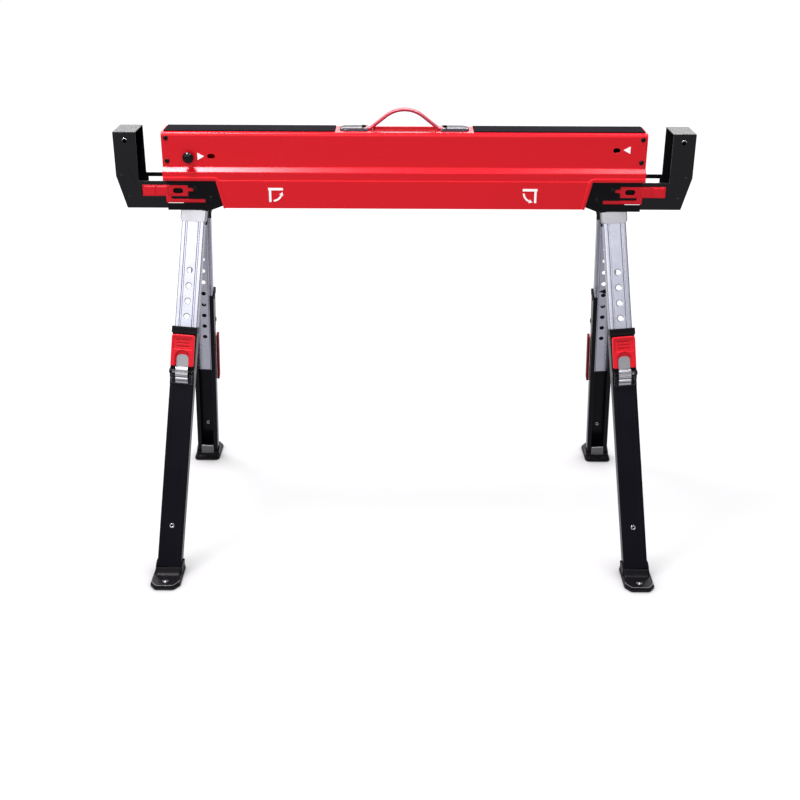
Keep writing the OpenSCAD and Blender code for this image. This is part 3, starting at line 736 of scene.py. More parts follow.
@dataclass
class Beam:
    """The folded sheet beam with its skirt, strap well, marks, pads and carrying strap."""

    half: float = 455.0
    top: float = 818.0
    height: float = 141.5
    upper: float = 36.0
    skirt: float = 46.5
    strip: float = 45.5
    sheet: float = 1.6
    shoulder: float = 65.0
    strip_drop: float = 73.0
    crease: float = 89.0
    bend: float = 8.0
    notch_top: float = 356.0
    notch_low: float = 343.0
    rim: float = 7.5
    pad_inner: float = 130.0
    pad_half: float = 27.0
    pad_rise: float = 2.2
    strap_half: float = 64.0
    strap_rise: float = 35.0
    strap_width: float = 21.0
    strap_lean: float = 38.0
    strap_thick: float = 4.4
    well: tuple[float, float, float] = (60.0, 25.0, 6.0)
    well_corner: float = 7.0
    cap_x: float = 95.0
    cap_half: tuple[float, float] = (27.5, 22.0)
    mouth: tuple[float, float] = (55.0, 79.0)
    slots: tuple[tuple[float, float, float], ...] = ((-363.0, 45.0, 14.3), (398.0, 31.0, 13.4))
    slot_high: float = 9.0
    signs: tuple[tuple[int, float], ...] = ((1, -257.0), (-1, 252.0))
    sign_drop: float = 102.0
    print_high: float = 0.25
    knob: tuple[float, float] = (405.0, 46.0)
    screw_x: float = 446.0
    screw_drops: tuple[float, float] = (11.0, 54.0)
    guide_screws: tuple[tuple[float, float], ...] = ((395.0, 104.0), (366.0, 123.0))
    guide_face: float = 43.6

    def wall(self, outline: Array, y0: float, y1: float) -> Skin:
        """Outline in x and drop below the top, solid from y0 to y1."""
        return slab(outline, y0, y1).laid(Lay.WALL, (0, 0, self.top))

    def hood(self) -> Skin:
        """Upper sheet: one bent line over the top, thickened inwards and carried along x."""
        right = np.array([
            [self.upper, 0.0], [self.upper, self.shoulder], [self.strip, self.strip_drop],
            [self.strip, self.crease - 1.5], [self.skirt, self.crease],
        ])
        soft = np.array([self.bend, 2.5, 2.5, 1, 0])
        profile = folded(mirrored(right), np.r_[soft[::-1], soft], 8, self.sheet)
        return extruded(profile, np.array([-self.half, self.half])).laid(Lay.EDGE, (0, 0, self.top))

    def skirts(self) -> Skin:
        """Front and rear lower sheets, cut back at both ends for the arms."""
        outline = np.array([
            [-self.notch_top, self.crease - 0.2], [self.notch_top, self.crease - 0.2],
            [self.notch_low, self.height], [-self.notch_low, self.height],
        ])
        front = self.wall(outline, -self.skirt, -self.skirt + self.sheet)
        rear = self.wall(outline, self.skirt - self.sheet, self.skirt)
        return front + rear

    def rims(self) -> Skin:
        """Pressed rims along the cut-outs: a low half-ellipse carried along each edge."""
        inset_x = self.rim / 2
        corner = np.array([
            [self.half - 0.5, self.crease - inset_x], [self.notch_top - inset_x, self.crease - inset_x],
            [self.notch_low - inset_x, self.height - 0.2],
        ])
        line = rounded(corner, 9.0, 10, closed=False)
        made = []
        for sx in (-1, 1):
            for sy in (-1, 1):
                y = np.where(line[:, 1] < self.crease, self.strip + 0.4, self.skirt)
                path = np.c_[sx * line[:, 0], sy * y, self.top - line[:, 1]]
                made.append(bead(path, (0.0, sy, 0.0), self.rim, 1.5))
        return joined(made)

    @staticmethod
    def layer(turn: int, face: float, over: float, under: float) -> list[float]:
        """Limits in y of a layer through the front face, or for turn -1 through the rear one."""
        return sorted((-turn * (face + over), -turn * (face - under)))

    def openings(self) -> Skin:
        """Cutters for the coupling slots in the front and rear faces and for the strap well."""
        found = []
        for turn in (1, -1):
            limits = self.layer(turn, self.upper, 3, 5)
            for x, drop, length in self.slots:
                found.append(self.wall(slot(turn * x, drop, length, self.slot_high), *limits))
        x, y, _ = self.well
        outline = rounded(box_outline(-x, x, -y, y), self.well_corner)
        return joined([*found, slab(outline, self.top - 5, self.top + 5)])

    def tray(self) -> Skin:
        """Shallow tray under the strap: its outer wall, its rim and its inner wall as one loft."""
        x, y, deep = self.well
        outline = rounded(box_outline(-x - 0.3, x + 0.3, -y - 0.3, y + 0.3), self.well_corner)
        rim = [(-deep - 1.2, 0), (-0.5, 0), (-0.1, 0.4), (-0.4, 1.2), (1 - deep, 2.2), (-deep, 4)]
        return prism(outline, [(self.top + up, depth) for up, depth in rim])

    def marks(self) -> Skin:
        """Printed pointers and fold signs on the front and, half a turn round, on the rear."""
        left = np.array([[-388.5, 38], [-376, 45], [-388.5, 52]])
        right = np.array([[423.5, 23], [410.6, 30], [423.5, 37]])
        made = []
        for turn in (1, -1):
            limits = self.layer(turn, self.upper, self.print_high, 0.3)
            made += [self.wall(shape * (turn, 1), *limits) for shape in (left, right)]
            limits = self.layer(turn, self.skirt, self.print_high, 0.3)
            for flip, x in self.signs:
                shapes = [shape * (flip, 1) + (x, self.sign_drop) for shape in self.sign(flip)]
                made += [self.wall(shape * (turn, 1), *limits) for shape in shapes]
        return joined(made)

    @staticmethod
    def sign(tip: int) -> list[Array]:
        """Fold sign: an angle of two bars and an arc about its corner.

        Args:
            tip: 1 sets the arc's arrowhead at its upper end, -1 at its lower one.
        Returns:
            Outlines of the two bars, the arc and the arrowhead.
        """
        a = np.linspace(0.08, 1.22, 12) if tip > 0 else np.linspace(0.34, 1.5, 12)
        round_ = np.c_[np.sin(a), np.cos(a)]
        end = round_[-1] if tip > 0 else round_[0]
        ahead = tip * np.array([end[1], -end[0]])
        head = np.array([13.4 * end - 0.5 * ahead, 21.2 * end - 0.5 * ahead, 17.3 * end + 6.0 * ahead])
        sweep = np.r_[19.0 * round_, 15.6 * round_[::-1]]
        bars = [box_outline(0, 28, 0, 4.6), box_outline(1.4, 5.6, 4.5, 27)]
        return [*bars, sweep + (8.5, 7.5), head + (8.5, 7.5)]

    def pad(self, side: Side) -> Skin:
        """Grip pad: a long rounded plate with its top edges eased."""
        x0, x1 = sorted((side.value * self.pad_inner, side.value * (self.half - 3.5)))
        outline = rounded(box_outline(x0, x1, -self.pad_half, self.pad_half), 3)
        low, high = self.top, self.top + self.pad_rise
        return prism(outline, [(low, 0), (high - 0.9, 0), (high - 0.25, 0.3), (high, 0.9)])

    def strap(self) -> Skin:
        """Carrying strap: a rounded band along a round top, straight flanks and flat ends in the caps."""
        w, h, mid = self.strap_half, self.strap_rise, self.strap_thick / 2
        lean = math.radians(self.strap_lean)
        r = (w * math.tan(lean) - h) / (1 / math.cos(lean) - 1)
        turn = np.linspace(0, lean, 14)
        bow = np.c_[r * np.sin(turn), h + mid - r + r * np.cos(turn)]
        end = rounded(np.array([bow[-1], [w, mid], [w + 13, mid]]), 7.0, 6, closed=False)
        right = np.r_[bow, end[1:]]
        line = np.r_[right[:0:-1] * (-1, 1), right]
        path = np.c_[line[:, 0], np.zeros(len(line)), self.top + line[:, 1]]
        band = rounded(box_outline(-self.strap_width / 2, self.strap_width / 2, -mid, mid), 1.6, 4)
        return swept(band, path, np.array([0.0, 1.0, 0.0]))

    def cap(self, side: Side) -> Skin:
        """Strap cap: a low crowned plate, round at its outer end and straight where the strap comes out."""
        ends = np.array([5, 18, 18, 5]) if side is Side.RIGHT else np.array([18, 5, 5, 18])
        x, y = self.cap_half
        outline = rounded(box_outline(-x, x, -y, y), ends, 10) + (side.value * self.cap_x, 0)
        crown = [(0, 0), (1.2, 0.2), (2.4, 0.9), (3.5, 2.3), (4.4, 4.6), (5.0, 8.0), (5.4, 13.0)]
        return prism(outline, [(self.top + up, depth) for up, depth in crown])

    def build(self, bench: Bench) -> None:
        """Makes and dresses the pieces of the beam."""
        bench.piece("beam_sheet", self.hood(), "red_paint", "beam", ("beam_shell",), (self.openings(),),
                    edge=0.4, angle=40)
        bench.piece("beam_skirts", self.skirts(), "red_paint", "beam", edge=0.4)
        bench.piece("notch_rims", self.rims(), "red_paint", "beam", edge=0)
        # The tray's darker red is painted shade.
        bench.piece("strap_tray", self.tray(), "well_red", "beam", edge=0)
        bench.piece("print_marks", self.marks(), "white_print", "beam", edge=0)
        bench.piece("carry_band", self.strap(), "strap_red", "beam", ("carry_strap",), edge=0, angle=50)
        gap = self.strap_width / 2 + 0.4
        for side in Side:
            end = side.word
            bench.piece(f"pad_{end}", self.pad(side), "grip_pad", "beam", (f"grip_pad_{end}",), edge=0)
            x0, x1 = sorted(side.value * x for x in self.mouth)
            mouth = slab(box_outline(x0, x1, -gap, gap), self.top - 3, self.top + self.strap_thick + 0.4)
            bench.piece(f"cap_{end}", self.cap(side), "cap_plastic", "beam", (f"strap_cap_{end}",),
                        (mouth,), edge=0, angle=40)
            bench.carried(f"end_plate_{end}", "black_steel", "beam")
            bench.carried(f"slide_guide_{end}", "black_plastic", "beam")
            bench.carried(f"hinge_hanger_{end}", "black_steel", "beam")
        self.screws(bench)
        bench.carried("hinge_bolts", "bright_steel", "beam")
        self.knobs(bench)

    def knobs(self, bench: Bench) -> None:
        """Coupling knobs: a turned stem and ball, one on each face."""
        corner = np.array([
            [0, -4], [3, -4], [3, 0.2], [6, 0.2], [6, 3.6], [9.2, 5.4], [10.5, 8.6], [10.1, 11.4],
            [8, 13.9], [4.4, 15.3], [0, 15.6],
        ])
        ball = turned(corner, 2.0, 48)
        x, drop = self.knob
        pair = [ball.put(facing(k, (-k * x, -k * self.upper, self.top - drop))) for k in (1, -1)]
        bench.piece("knob_pair", joined(pair), "black_gloss", "beam", ("coupling_knobs",), edge=0)

    def screws(self, bench: Bench) -> None:
        """Screw heads of the end plates and guides: a turned dome with a cross recess."""
        corner = np.array([[4.6, -0.4], [4.6, 0.5], [4.1, 1.3], [2.8, 1.9], [0, 2.2]])
        dome = turned(corner, 0.6, 32)
        a, b = 3.0, 0.8
        arm = np.array([[a, -b], [a, b], [b, b]])
        quarter = np.array([[0, 1], [-1, 0]])
        plus = np.concatenate([arm @ np.linalg.matrix_power(quarter, k) for k in range(4)])
        recess = slab(plus, 0.6, 4.0)
        spots = [(self.screw_x, self.upper, drop) for drop in self.screw_drops]
        spots += [(x, self.guide_face, drop) for x, drop in self.guide_screws]
        places = [facing(k, (sx * x, -k * y, self.top - drop))
                  for k in (1, -1) for sx in (-1, 1) for x, y, drop in spots]
        heads, cuts = joined([dome.put(m) for m in places]), joined([recess.put(m) for m in places])
        bench.piece("screw_heads", heads, "black_gloss", "beam", ("beam_screws",), (cuts,),
                    edge=0, angle=40)


@dataclass
class Arms:
    """The two sliding end arms and their red locks."""

    top: float = 818.0
    end: float = 545.0
    lean_drop: float = 83.0
    lean_run: float = 61.0
    lean_in: float = 17.0
    brow_r: float = 4.95
    face: float = 36.3
    hole: tuple[float, float] = (523.0, 17.0)
    fold: tuple[tuple[float, float], tuple[float, float]] = ((519.5, 70.7), (509.6, 94.7))

    def bends(self, points: Array) -> Array:
        """Which points lie where the arm's faces are bent into its top and outer wall."""
        x, y, drop = np.abs(points[:, 0]), np.abs(points[:, 1]), self.top - points[:, 2]
        lean = ramp(drop, self.lean_drop, self.lean_drop + self.lean_run) * self.lean_in
        outer = np.abs(self.end - lean - x) < 0.15
        return (y > self.face - 0.05) & ((drop < 0.05) | outer)

    def details(self, side: Side) -> tuple[Skin, Skin]:
        """Bright brows over the screw hole, a painted highlight, and the fold line on both faces of one arm.
        """
        a = np.radians(np.linspace(25, 155, 16))
        turn = self.brow_r * np.c_[np.cos(a), -np.sin(a)]
        arc = np.array(self.hole) + turn
        start, stop = np.array(self.fold)
        line = start + (stop - start) * np.linspace(0, 1, 6)[:, None]
        highlight_brows = [self.ridge(side, arc, front, 1.8, 0.9) for front in (1, -1)]
        folds = [self.ridge(side, line, front, 1.1, 0.3) for front in (1, -1)]
        return joined(highlight_brows), joined(folds)

    def ridge(self, side: Side, line: Array, front: int, width: float, rise: float) -> Skin:
        """Bead along a line of (distance out, drop) on the front face, or for -1 on the rear one."""
        y = np.full(len(line), -front * self.face)
        place = np.c_[side.value * line[:, 0], y, self.top - line[:, 1]]
        return bead(place, (0.0, -front, 0.0), width, rise)

    def build(self, bench: Bench) -> None:
        """Dresses the arms and locks."""
        for side in Side:
            body = f"arm_{side.word}"
            rims, lines = self.details(side)
            bench.carried(body, "black_steel", body, 1.9, self.bends)
            # Bright steel arcs over the holes: a painted highlight.
            bench.piece(f"hole_brows_{side.word}", rims, "bright_steel", body, edge=0)
            bench.piece(f"fold_line_{side.word}", lines, "black_gloss", body, edge=0)
            bench.carried(f"arm_lock_{side.word}", "red_plastic", f"lock_{side.word}", 0.5)


@dataclass
class LegSet:
    """One telescopic leg with its latch and foot, drawn once and set at each corner."""

    corner: Corner
    hinge_x: float = 400.7
    leg_y: float = 37.5
    drop: float = 676.5
    splay: float = 19.2
    rake: float = 4.5
    upper_half: float = 21.5
    depth: float = 20.0
    wall: float = 2.0
    hinge_s: float = 19.6
    upper_end: float = 452.0
    hole_first: float = 121.0
    pitch: float = 29.5
    hole_r: float = 5.0
    hole_count: int = 9
    bore_r: float = 5.06
    pin_hole: int = 5
    pin_r: float = 6.2
    lower_half: float = 23.2
    web_out: float = -1.8
    lip_out: float = 22.0
    lower_wall: float = 1.4
    lower_top: float = 229.0
    axle_s: float = 315.0
    axle_out: float = 8.0
    open_by: float = 5.0
    clip_half: float = 11.8
    guard_s: tuple[float, float] = (354.0, 480.0)
    guard_wide: float = 5.4
    rivet_s: float = 617.0
    panel_s: tuple[float, float] = (667.0, 702.5)
    sole_high: float = 9.0

    @property
    def matrix(self) -> Array:
        """From the leg's own frame (x across, y inwards, z up the leg) to the part's."""
        a, b = -math.radians(self.splay), -math.radians(self.rake)
        turn = np.array(Matrix.Rotation(a, 3, "X") @ Matrix.Rotation(b, 3, "Y"))
        return self.flip @ placing(turn, (self.hinge_x, -self.leg_y, self.drop))

    def channel(self) -> Skin:
        """Upper leg: a channel line with two rolled grooves, thickened inwards and carried down the leg."""
        w = self.upper_half
        right = np.array([[9.8, 0], [11.1, 0.85], [13.1, 0.85], [14.4, 0], [w, 0], [w, self.depth]])
        soft = np.array([0.8, 0.8, 0.8, 0.8, 2.6, 0])
        profile = folded(mirrored(right), np.r_[soft[::-1], soft], 5, self.wall)
        return extruded(profile, np.array([-self.upper_end, -self.hinge_s]))

    def upper(self, bench: Bench) -> None:
        """Makes the zinc upper leg with its rounded top and its row of holes."""
        a = np.linspace(0, math.pi, 25)
        w = self.upper_half
        dome = slab(np.c_[w * np.cos(a), self.hinge_s - w * np.sin(a)], 0, self.wall).laid(Lay.WALL)
        bore = slab(disc(0, self.hinge_s, self.bore_r), -2, self.wall + 2).laid(Lay.WALL)
        sink = [(-1.0, -4.1), (1.15, 0.0), (self.wall + 2, 0.0)]
        spots = self.hole_first + self.pitch * np.arange(self.hole_count)
        holes = [prism(disc(0, s, self.hole_r), sink).laid(Lay.WALL) for s in spots]
        cut = joined([*holes, bore])
        self.make(bench, "upper_channel", self.channel(), "zinc_leg", "leg", "upper_leg", (cut,),
                  edge=0.25, angle=40)
        self.make(bench, "upper_dome", dome, "zinc_leg", "leg", cuts=(bore,), edge=0.25, angle=40)
        self.make(bench, "hinge_cap", self.cap(), "zinc", "leg", "leg_cap", edge=0.5)

    def make(
        self, bench: Bench, name: str, skin: Skin, finish: str, body: str = "shin", node: str = "",
        cuts: tuple[Skin, ...] = (), matrix: Array | None = None, edge: float = 0.0, angle: float = 32.0,
    ) -> None:
        """Makes one piece of this leg.

        Args:
            bench: where it is made.
            name: its name; this one, body and node get the corner's letters.
            skin: its surface.
            finish: name of its finish.
            body: body that it rides on.
            node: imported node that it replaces, if any.
            cuts: volumes taken out of it.
            matrix: where it is set, else the leg's own frame.
            edge: width of its edge rounding, none at 0.
            angle: corners sharper than this, in degrees, stay sharp.
        """
        t = self.corner.tail
        nodes = (f"{node}_{t}",) if node else ()
        place = self.matrix if matrix is None else matrix
        bench.piece(f"{name}_{t}", skin, finish, f"{body}_{t}", nodes, cuts, place, edge, angle)

    def cap(self) -> Skin:
        """Plain cap over the hinge end: a U in plan carried down the leg, its lower corners rounded."""
        w, deep, face, rings = self.upper_half + 2.8, 14.0, -2.4, []
        for z, narrow in ((-6.0, 0.0), (-22.0, 0.0), (-24.6, 0.7), (-26.7, 2.4), (-27.6, 4.6)):
            half = w - narrow
            line = np.array([[-half, deep], [-half, face], [half, face], [half, deep]])
            profile = folded(line, 2.6, 5, 2.2)
            rings.append(np.c_[profile, np.full(len(profile), z)])
        return loft(np.array(rings))

    def sleeve(self) -> Skin:
        """Lower leg: an open box line with two raised bands that rise from nothing below the latch."""
        w, front, back, rib = self.lower_half, self.web_out, self.lip_out, 0.9
        right = np.array([[13.6, front], [15.0, front], [20.2, front], [w, front], [w, back], [14.2, back]])
        lift = np.array([[0, 0], [0, -rib], [0, -rib], [0, 0], [0, 0], [0, 0]])
        soft = np.array([1.0, 1.0, 1.0, 2.2, 3.0, 0])
        lengths = np.array([self.lower_top, 343.0, 350.0, 686.0, 692.0, self.foot_s - 20.6])
        rises = np.array([0.03, 0.03, 1.0, 1.0, 0.03, 0.03])
        rings = []
        for s_at, rise in zip(lengths, rises):
            line = mirrored(right + lift * rise)
            profile = folded(line, np.r_[soft[::-1], soft], 5, self.lower_wall)
            rings.append(np.c_[profile, np.full(len(profile), -s_at)])
        return loft(np.array(rings))

    def eyelet(self) -> Skin:
        """Pressed eyelet low on the lower leg, seen on the web's outer and inner side."""
        corner = np.array([[2.2, -0.2], [2.2, 0.7], [3.6, 1.2], [4.8, 0.5], [4.9, -0.2]])
        out = turned(corner, 0.5, 32).laid(Lay.WALL)
        front = placing(np.diag([1, -1, 1]), (0, self.web_out, -self.rivet_s))
        back = placing(np.eye(3), (0, self.web_out + self.lower_wall, -self.rivet_s))
        return out.put(front) + out.put(back)

    def shoe(self) -> Skin:
        """Upper of the foot: a sleeve round the leg that flares into the sole, with an ear on each side.

        Each ring takes the sleeve's outline at one height and moves it out by R (1 - sin t) at a
        height of R (1 - cos t), a concave quarter-round; the top edge dips to the front and rises
        to a half-round ear at each side.
        """
        side, front, back = self.lower_half + 2.6, self.web_out - 4.0, self.lip_out + 2.6
        outline = resampled(rounded(box_outline(-side, side, front, back), 3.0, 6), 96)
        x, y = outline.T
        wide, m = np.abs(x), self.matrix_right
        forward = ramp(y, 12.0, -2.0) * ramp(wide, side + 0.5, side - 3.5)
        inward = ramp(y, back - 8.0, back) * ramp(wide, side, side - 5.0)
        sideways = np.sign(x) * ramp(wide, side - 2.5, side)
        shift = np.c_[2.4 * sideways, 11.0 * inward - 13.0 * forward, np.zeros(len(x))]
        rings = []
        for t in np.linspace(0, math.pi / 2, 9):
            points = self.at_height(m, outline, 8.0 + 13.0 * (1 - math.cos(t)))
            rings.append(points + shift * (1 - math.sin(t)))
        ear = 15.5 * np.sqrt(np.clip(1 - ((y - 10.0) / 13.5) ** 2, 0, 1)) * ramp(wide, side - 3.0, side)
        cup = 22.0 * ramp(y, back - 4.0, back - 1.0) * ramp(wide, 16.5, 14.5)
        top = 702.0 - np.maximum(ear, cup)
        for depth, drop in ((0.0, 0.9), (0.25, 0.25), (0.9, 0.0), (2.2, 0.1)):
            local = np.c_[inset(outline, depth), -(top + drop), np.ones(len(x))]
            rings.append((local @ m.T)[:, :3])
        rings.append(self.at_height(m, inset(outline, 2.4), 9.2))
        return loft(np.array(rings))

    @staticmethod
    def at_height(m: Array, outline: Array, z: float) -> Array:
        """Where the lines along the leg through an outline meet the level z, from the matrix's third row."""
        x, y = outline.T
        run = (z - m[2, 3] - m[2, 0] * x - m[2, 1] * y) / m[2, 2]
        return (np.c_[x, y, run, np.ones(len(x))] @ m.T)[:, :3]

    def sole(self) -> Skin:
        """Foot plate: a long octagon with rounded corners, a full rim and eased edges."""
        w, front, back = 29.0, -50.0, 40.0
        toe = [[w, front + 15], [w - 11, front], [-w + 11, front], [-w, front + 15]]
        outline = rounded(np.array([[-w, back], [w, back], *toe]), np.array([13, 13, 9, 9, 9, 9]), 6)
        rim = [(0, 1.8), (0.5, 0.6), (1.4, 0), (4.4, 0), (5.1, 0.5), (5.3, 1.3), (7.3, 1.5), (8.5, 2.1)]
        return prism(outline + self.foot_middle, [*rim, (self.sole_high, 3.4)])

    def toe_line(self) -> Skin:
        """Fine raised line along the front edge of the sole's top, lighter grey as a painted highlight."""
        half = np.array([[25.8, -29.0], [25.8, -33.5], [16.4, -46.4]])
        edge = rounded(np.r_[half, half[::-1] * (-1, 1)], 6.0, 6, closed=False) + self.foot_middle
        return bead(np.c_[edge, np.full(len(edge), self.sole_high - 0.1)], (0.0, 0.0, 1.0), 1.8, 0.6)

    @property
    def foot_middle(self) -> Array:
        """Where the middle of the leg's face meets the floor at the front right corner."""
        return (np.array([0, 0, -self.foot_s, 1]) @ self.matrix_right.T)[:2]

    @property
    def matrix_right(self) -> Array:
        """The leg's frame at the front right corner, before it is mirrored to its own."""
        return self.flip @ self.matrix

    @property
    def flip(self) -> Array:
        """From the front right corner to this leg's corner."""
        sx, sy, _ = self.corner.value
        return np.diag([float(sx), float(-sy), 1.0, 1.0])

    @property
    def foot_s(self) -> float:
        """Length from the beam's underside to the floor along the leg's face."""
        return self.drop / math.cos(math.radians(self.splay)) / math.cos(math.radians(self.rake))

    def clip(self) -> Skin:
        """Bright spring clip at the lever's turn: a waved strip carried across the leg."""
        a = self.axle_s
        wave = np.array([
            [-3.4, a - 9], [-8.0, a - 9.5], [-13.4, a - 6.5], [-13.8, a - 2.5], [-10.6, a + 1.0],
            [-13.0, a + 5.0], [-12.4, a + 8.5], [-8.2, a + 11.0], [-8.8, a + 15.0], [-5.2, a + 18.5],
            [-3.6, a + 22.5],
        ])
        profile = folded(wave, 2.2, 5, 1.0)
        return extruded(profile, np.array([-self.clip_half, self.clip_half])).laid(Lay.EDGE)

    @property
    def lever(self) -> Array:
        """From the lever's place, closed against the leg, to the part's frame, turned about its axle."""
        axle = np.array([0, -self.axle_out, -self.axle_s])
        turn = np.array(Matrix.Rotation(math.radians(self.open_by), 3, "X"))
        return self.matrix @ placing(turn, axle) @ placing(np.eye(3), -axle)

    def grip(self) -> tuple[Skin, tuple[Skin, ...]]:
        """Red grip: a plate with round upper corners, and cutters for panel, finger grooves and arch."""
        a, out = self.axle_s, -self.axle_out - 7.2
        plate = rounded(box_outline(-22, 22, a - 71.5, a - 11), np.array([5, 5, 2.2, 2.2]), 6)
        panel = slab(rounded(box_outline(-18.2, 18.2, a - 68, a - 43), 2.5), out - 2, out + 1.7)
        lines = joined([slab(slot(0, a - 49.5 - 6.2 * k, 24, 2.6), out - 2, out + 4.6) for k in range(3)])
        turn = np.linspace(math.pi, 0, 21)
        r, foot = 12.5, a + 6
        arch = np.r_[[[-r, foot]], np.c_[r * np.cos(turn), a - 28 - r * np.sin(turn)], [[r, foot]]]
        tunnel = prism(arch, [(out - 1, -2.9), (out + 2.5, 0), (out + 4.4, 0)])
        window = box_outline(-self.clip_half, self.clip_half, a - 33.5, foot)
        through = slab(rounded(window, np.array([11, 11, 1, 1]), 10), out - 2, out + 10)
        cuts = tuple(c.laid(Lay.WALL) for c in (panel, lines, tunnel, through))
        return slab(plate, out, out + 6.0, 0.9).laid(Lay.WALL), cuts

    def guard(self) -> Skin:
        """Red strip down the inner edge of a rear lower leg."""
        inner = -self.lower_half - 0.2
        outline = rounded(box_outline(inner - self.guard_wide, inner, *self.guard_s), 2.2)
        return slab(outline, self.web_out - 12.0, self.web_out + 2.0, 0.7).laid(Lay.WALL)

    def build(self, bench: Bench) -> None:
        """Makes and dresses every piece of this leg."""
        t = self.corner.tail
        self.upper(bench)
        shin, latch = f"shin_{t}", f"latch_{t}"
        pin = slab(disc(0, self.hole_first + self.pin_hole * self.pitch, self.pin_r), -6, 1).laid(Lay.WALL)
        self.make(bench, "lower_sleeve", self.sleeve(), "black_steel_leg", node="lower_leg", cuts=(pin,),
                  edge=0.25, angle=40)
        self.make(bench, "eyelet", self.eyelet(), "bright_steel")
        self.make(bench, "foot_sole", self.sole(), "black_plastic", node="foot", matrix=self.flip)
        # A lighter grey line along the toe: a painted highlight.
        self.make(bench, "toe_line", self.toe_line(), "foot_grey", matrix=self.flip)
        self.make(bench, "foot_shoe", self.shoe(), "black_plastic", matrix=self.flip, angle=50)
        bench.carried(f"latch_housing_{t}", "black_plastic", shin, 0.5)
        bench.carried(f"latch_axle_{t}", "plated_dark", shin)
        self.make(bench, "latch_clip", self.clip(), "bright_steel", edge=0.2, angle=50)
        bench.carried(f"latch_spring_{t}", "bright_steel", shin, 0)
        bench.carried(f"latch_lever_{t}", "zinc", latch, 0.4)
        plate, cuts = self.grip()
        self.make(bench, "red_grip", plate, "red_plastic", "latch", "latch_grip", cuts, self.lever, 0.35, 40)
        if self.corner in (Corner.REAR_LEFT, Corner.REAR_RIGHT):
            # The edge guard's dark red is painted shade.
            self.make(bench, "edge_guard", self.guard(), "guard_red")
        bench.carried(f"foot_bolt_{t}", "bright_steel", shin)
        self.foot_panel(bench)

    def foot_panel(self, bench: Bench) -> None:
        """Panel on the inner side of the foot, grey as painted light, with a bright bead along its top edge
        as a painted highlight, and a small screw.
        """
        face, (top, low) = self.lip_out + 3.5, self.panel_s
        plate = slab(rounded(box_outline(-14.0, 14.0, top, low), 2.0), face - 1.2, face, 0.4).laid(Lay.WALL)
        line = np.c_[np.linspace(-12.5, 12.5, 6), np.full(6, face), np.full(6, -top - 1.6)]
        rim = bead(line, (0.0, 1.0, 0.0), 3.4, 1.1)
        corner = np.array([[3.4, -0.6], [3.4, 0.4], [2.8, 1.1], [0, 1.5]])
        head = turned(corner, 0.5, 28)
        # Grey panel: painted light on the foot's inner side.
        self.make(bench, "foot_panel", plate, "foot_grey")
        # Bright bead along the panel's top edge: a painted highlight.
        self.make(bench, "panel_rim", rim, "zinc")
        screw = head.put(facing(-1, (0.0, face, -low + 6.5)))
        self.make(bench, "inner_screw", screw, "plated_dark")


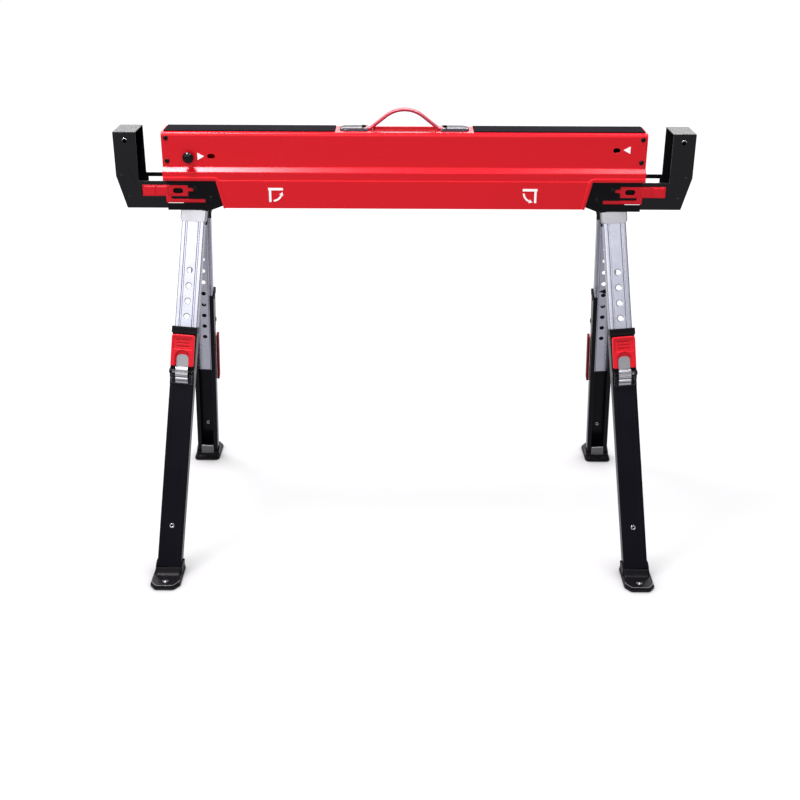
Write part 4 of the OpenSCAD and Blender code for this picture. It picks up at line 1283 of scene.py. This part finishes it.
@dataclass
class Studio:
    """Pale floor, soft lights and the camera at the photograph's angle; floor and lamps in metres."""

    floor_half: float = 30.0
    floor_z: float = -0.0005
    eye: Point = (-5.15, -2297.5, 1271.1)
    pitch: float = 23.774
    yaw: float = -0.025
    roll: float = 0.245
    lens: float = 54.42

    def camera(self) -> None:
        """Sets the camera from its position, pitch, yaw and roll."""
        data = bpy.data.cameras.new("camera")
        data.lens, data.sensor_width = self.lens, 36.0
        p, y, r = (math.radians(v) for v in (self.pitch, self.yaw, self.roll))
        ahead = np.array([math.sin(y) * math.cos(p), math.cos(y) * math.cos(p), -math.sin(p)])
        right = np.array([math.cos(y), -math.sin(y), 0])
        up = np.cross(right, ahead)
        across = math.cos(r) * right + math.sin(r) * up
        above = -math.sin(r) * right + math.cos(r) * up
        place = placing(np.c_[across, above, -ahead], np.array(self.eye) * MM)
        obj = linked("camera", data)
        obj.matrix_world = Matrix(place.tolist())
        bpy.context.scene.camera = obj

    def floor(self) -> None:
        """Large pale floor."""
        data = bpy.data.meshes.new("floor")
        s, z = self.floor_half, self.floor_z
        data.from_pydata([(-s, -s, z), (s, -s, z), (s, s, z), (-s, s, z)], [], [(0, 1, 2, 3)])
        obj = linked("floor", data)
        made = bpy.data.materials.new("floor_pale")
        made.use_nodes = True
        wires, shader = Wiring(made.node_tree), made.node_tree.nodes["Principled BSDF"]
        fill(shader, {
            "Base Color": (0.12, 0.1192, 0.1208, 1), "Roughness": 0.95, "Specular IOR Level": 0.0,
            "Emission Color": (1.0, 0.993, 1.0, 1),
        })
        span = self.seen(wires, shader, "Emission Strength", 0.58, 0.84)
        grounded = wires.node("Math", operation="MULTIPLY")
        wires.link(self.outwards(wires, (0.7, 2.2), (0.84, 0.97)), "Result", grounded, 0)
        wires.link(self.contact(wires, 0.09), "Result", grounded, 1)
        wires.link(grounded, "Value", span, "To Max")
        data.materials.append(made)

    @staticmethod
    def outwards(wires: Wiring, reach: tuple[float, float], strength: tuple[float, float]) -> Node:
        """Rise from one strength to another between two distances from the middle of the stage."""
        spot, length = wires.node("TexCoord"), wires.node("VectorMath", operation="LENGTH")
        rise = wires.ranged((*reach, *strength), interpolation_type="SMOOTHSTEP")
        wires.link(spot, "Object", length, 0)
        wires.link(length, "Value", rise, "Value")
        return rise

    @staticmethod
    def contact(wires: Wiring, reach: float) -> Node:
        """Share of light left close to what stands on the floor, for the soft shadow round each foot."""
        near = wires.node("AmbientOcclusion", {"Distance": reach})
        span = wires.ranged((0.40, 1.0, 0.35, 1.0))
        wires.link(near, "AO", span, "Value")
        return span

    @staticmethod
    def seen(wires: Wiring, target: Node, name: str, lit: float, shown: float) -> Node:
        """Gives a stage node's input one strength in the camera's own rays and another in all other rays."""
        path, span = wires.node("LightPath"), wires.ranged((0.0, 1.0, lit, shown))
        wires.link(path, "Is Camera Ray", span, "Value")
        wires.link(span, "Result", target, name)
        return span

    @staticmethod
    def lamp(
        name: str, at: Point, aim: Point, size: tuple[float, float], glow: float,
        tint: Colour = (1.0, 1.0, 1.0),
    ) -> None:
        """One soft rectangular lamp aimed at a point, in metres, with its face's brightness and tint."""
        data = bpy.data.lights.new(name, "AREA")
        data.shape, data.size, data.size_y = "RECTANGLE", size[0], size[1]
        data.energy, data.color = glow * math.pi * size[0] * size[1], tint
        obj = linked(name, data)
        way = Vector(aim) - Vector(at)
        obj.location, obj.visible_camera = at, False
        obj.rotation_euler = way.to_track_quat("-Z", "Y").to_euler()

    def build(self) -> None:
        """Sets camera, floor, lamps, sky and the plain view transform."""
        scene = bpy.context.scene
        scene.view_settings.view_transform = "Standard"
        self.camera()
        self.floor()
        world = bpy.data.worlds.new("sky")
        world.use_nodes = True
        sky = world.node_tree.nodes["Background"]
        fill(sky, {"Color": (0.98, 0.975, 1.0, 1)})
        self.seen(Wiring(world.node_tree), sky, "Strength", 0.4, 0.99)
        scene.world = world
        self.lamp("front", (-1.6, -3.6, 2.47), (-1.3, 0.0, 0.5), (5.6, 2.1), 2.45)
        self.lamp("overhead", (0.0, -1.1, 3.4), (0.0, 0.0, 0.75), (3.0, 1.2), 0.4)
        pink = (1.0, 0.93, 1.0)
        self.lamp("overhead_left", (-1.02, -0.2, 3.3), (-0.4, 0.0, 0.8), (0.75, 0.7), 88.0, pink)
        self.lamp("overhead_right", (1.15, -0.2, 3.3), (0.4, 0.0, 0.8), (0.7, 0.7), 22.0, pink)
        self.lamp("behind", (0.0, 5.0, 2.9), (0.0, 0.0, 0.8), (5.0, 1.2), 8.0)


def main() -> None:
    """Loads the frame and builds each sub-assembly."""
    logging.basicConfig(level=logging.INFO, format="%(message)s")
    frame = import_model()
    bench = Bench(frame)
    Studio().build()
    Beam().build(bench)
    Arms().build(bench)
    for corner in Corner:
        LegSet(corner).build(bench)


if __name__ == "__main__":
    main()
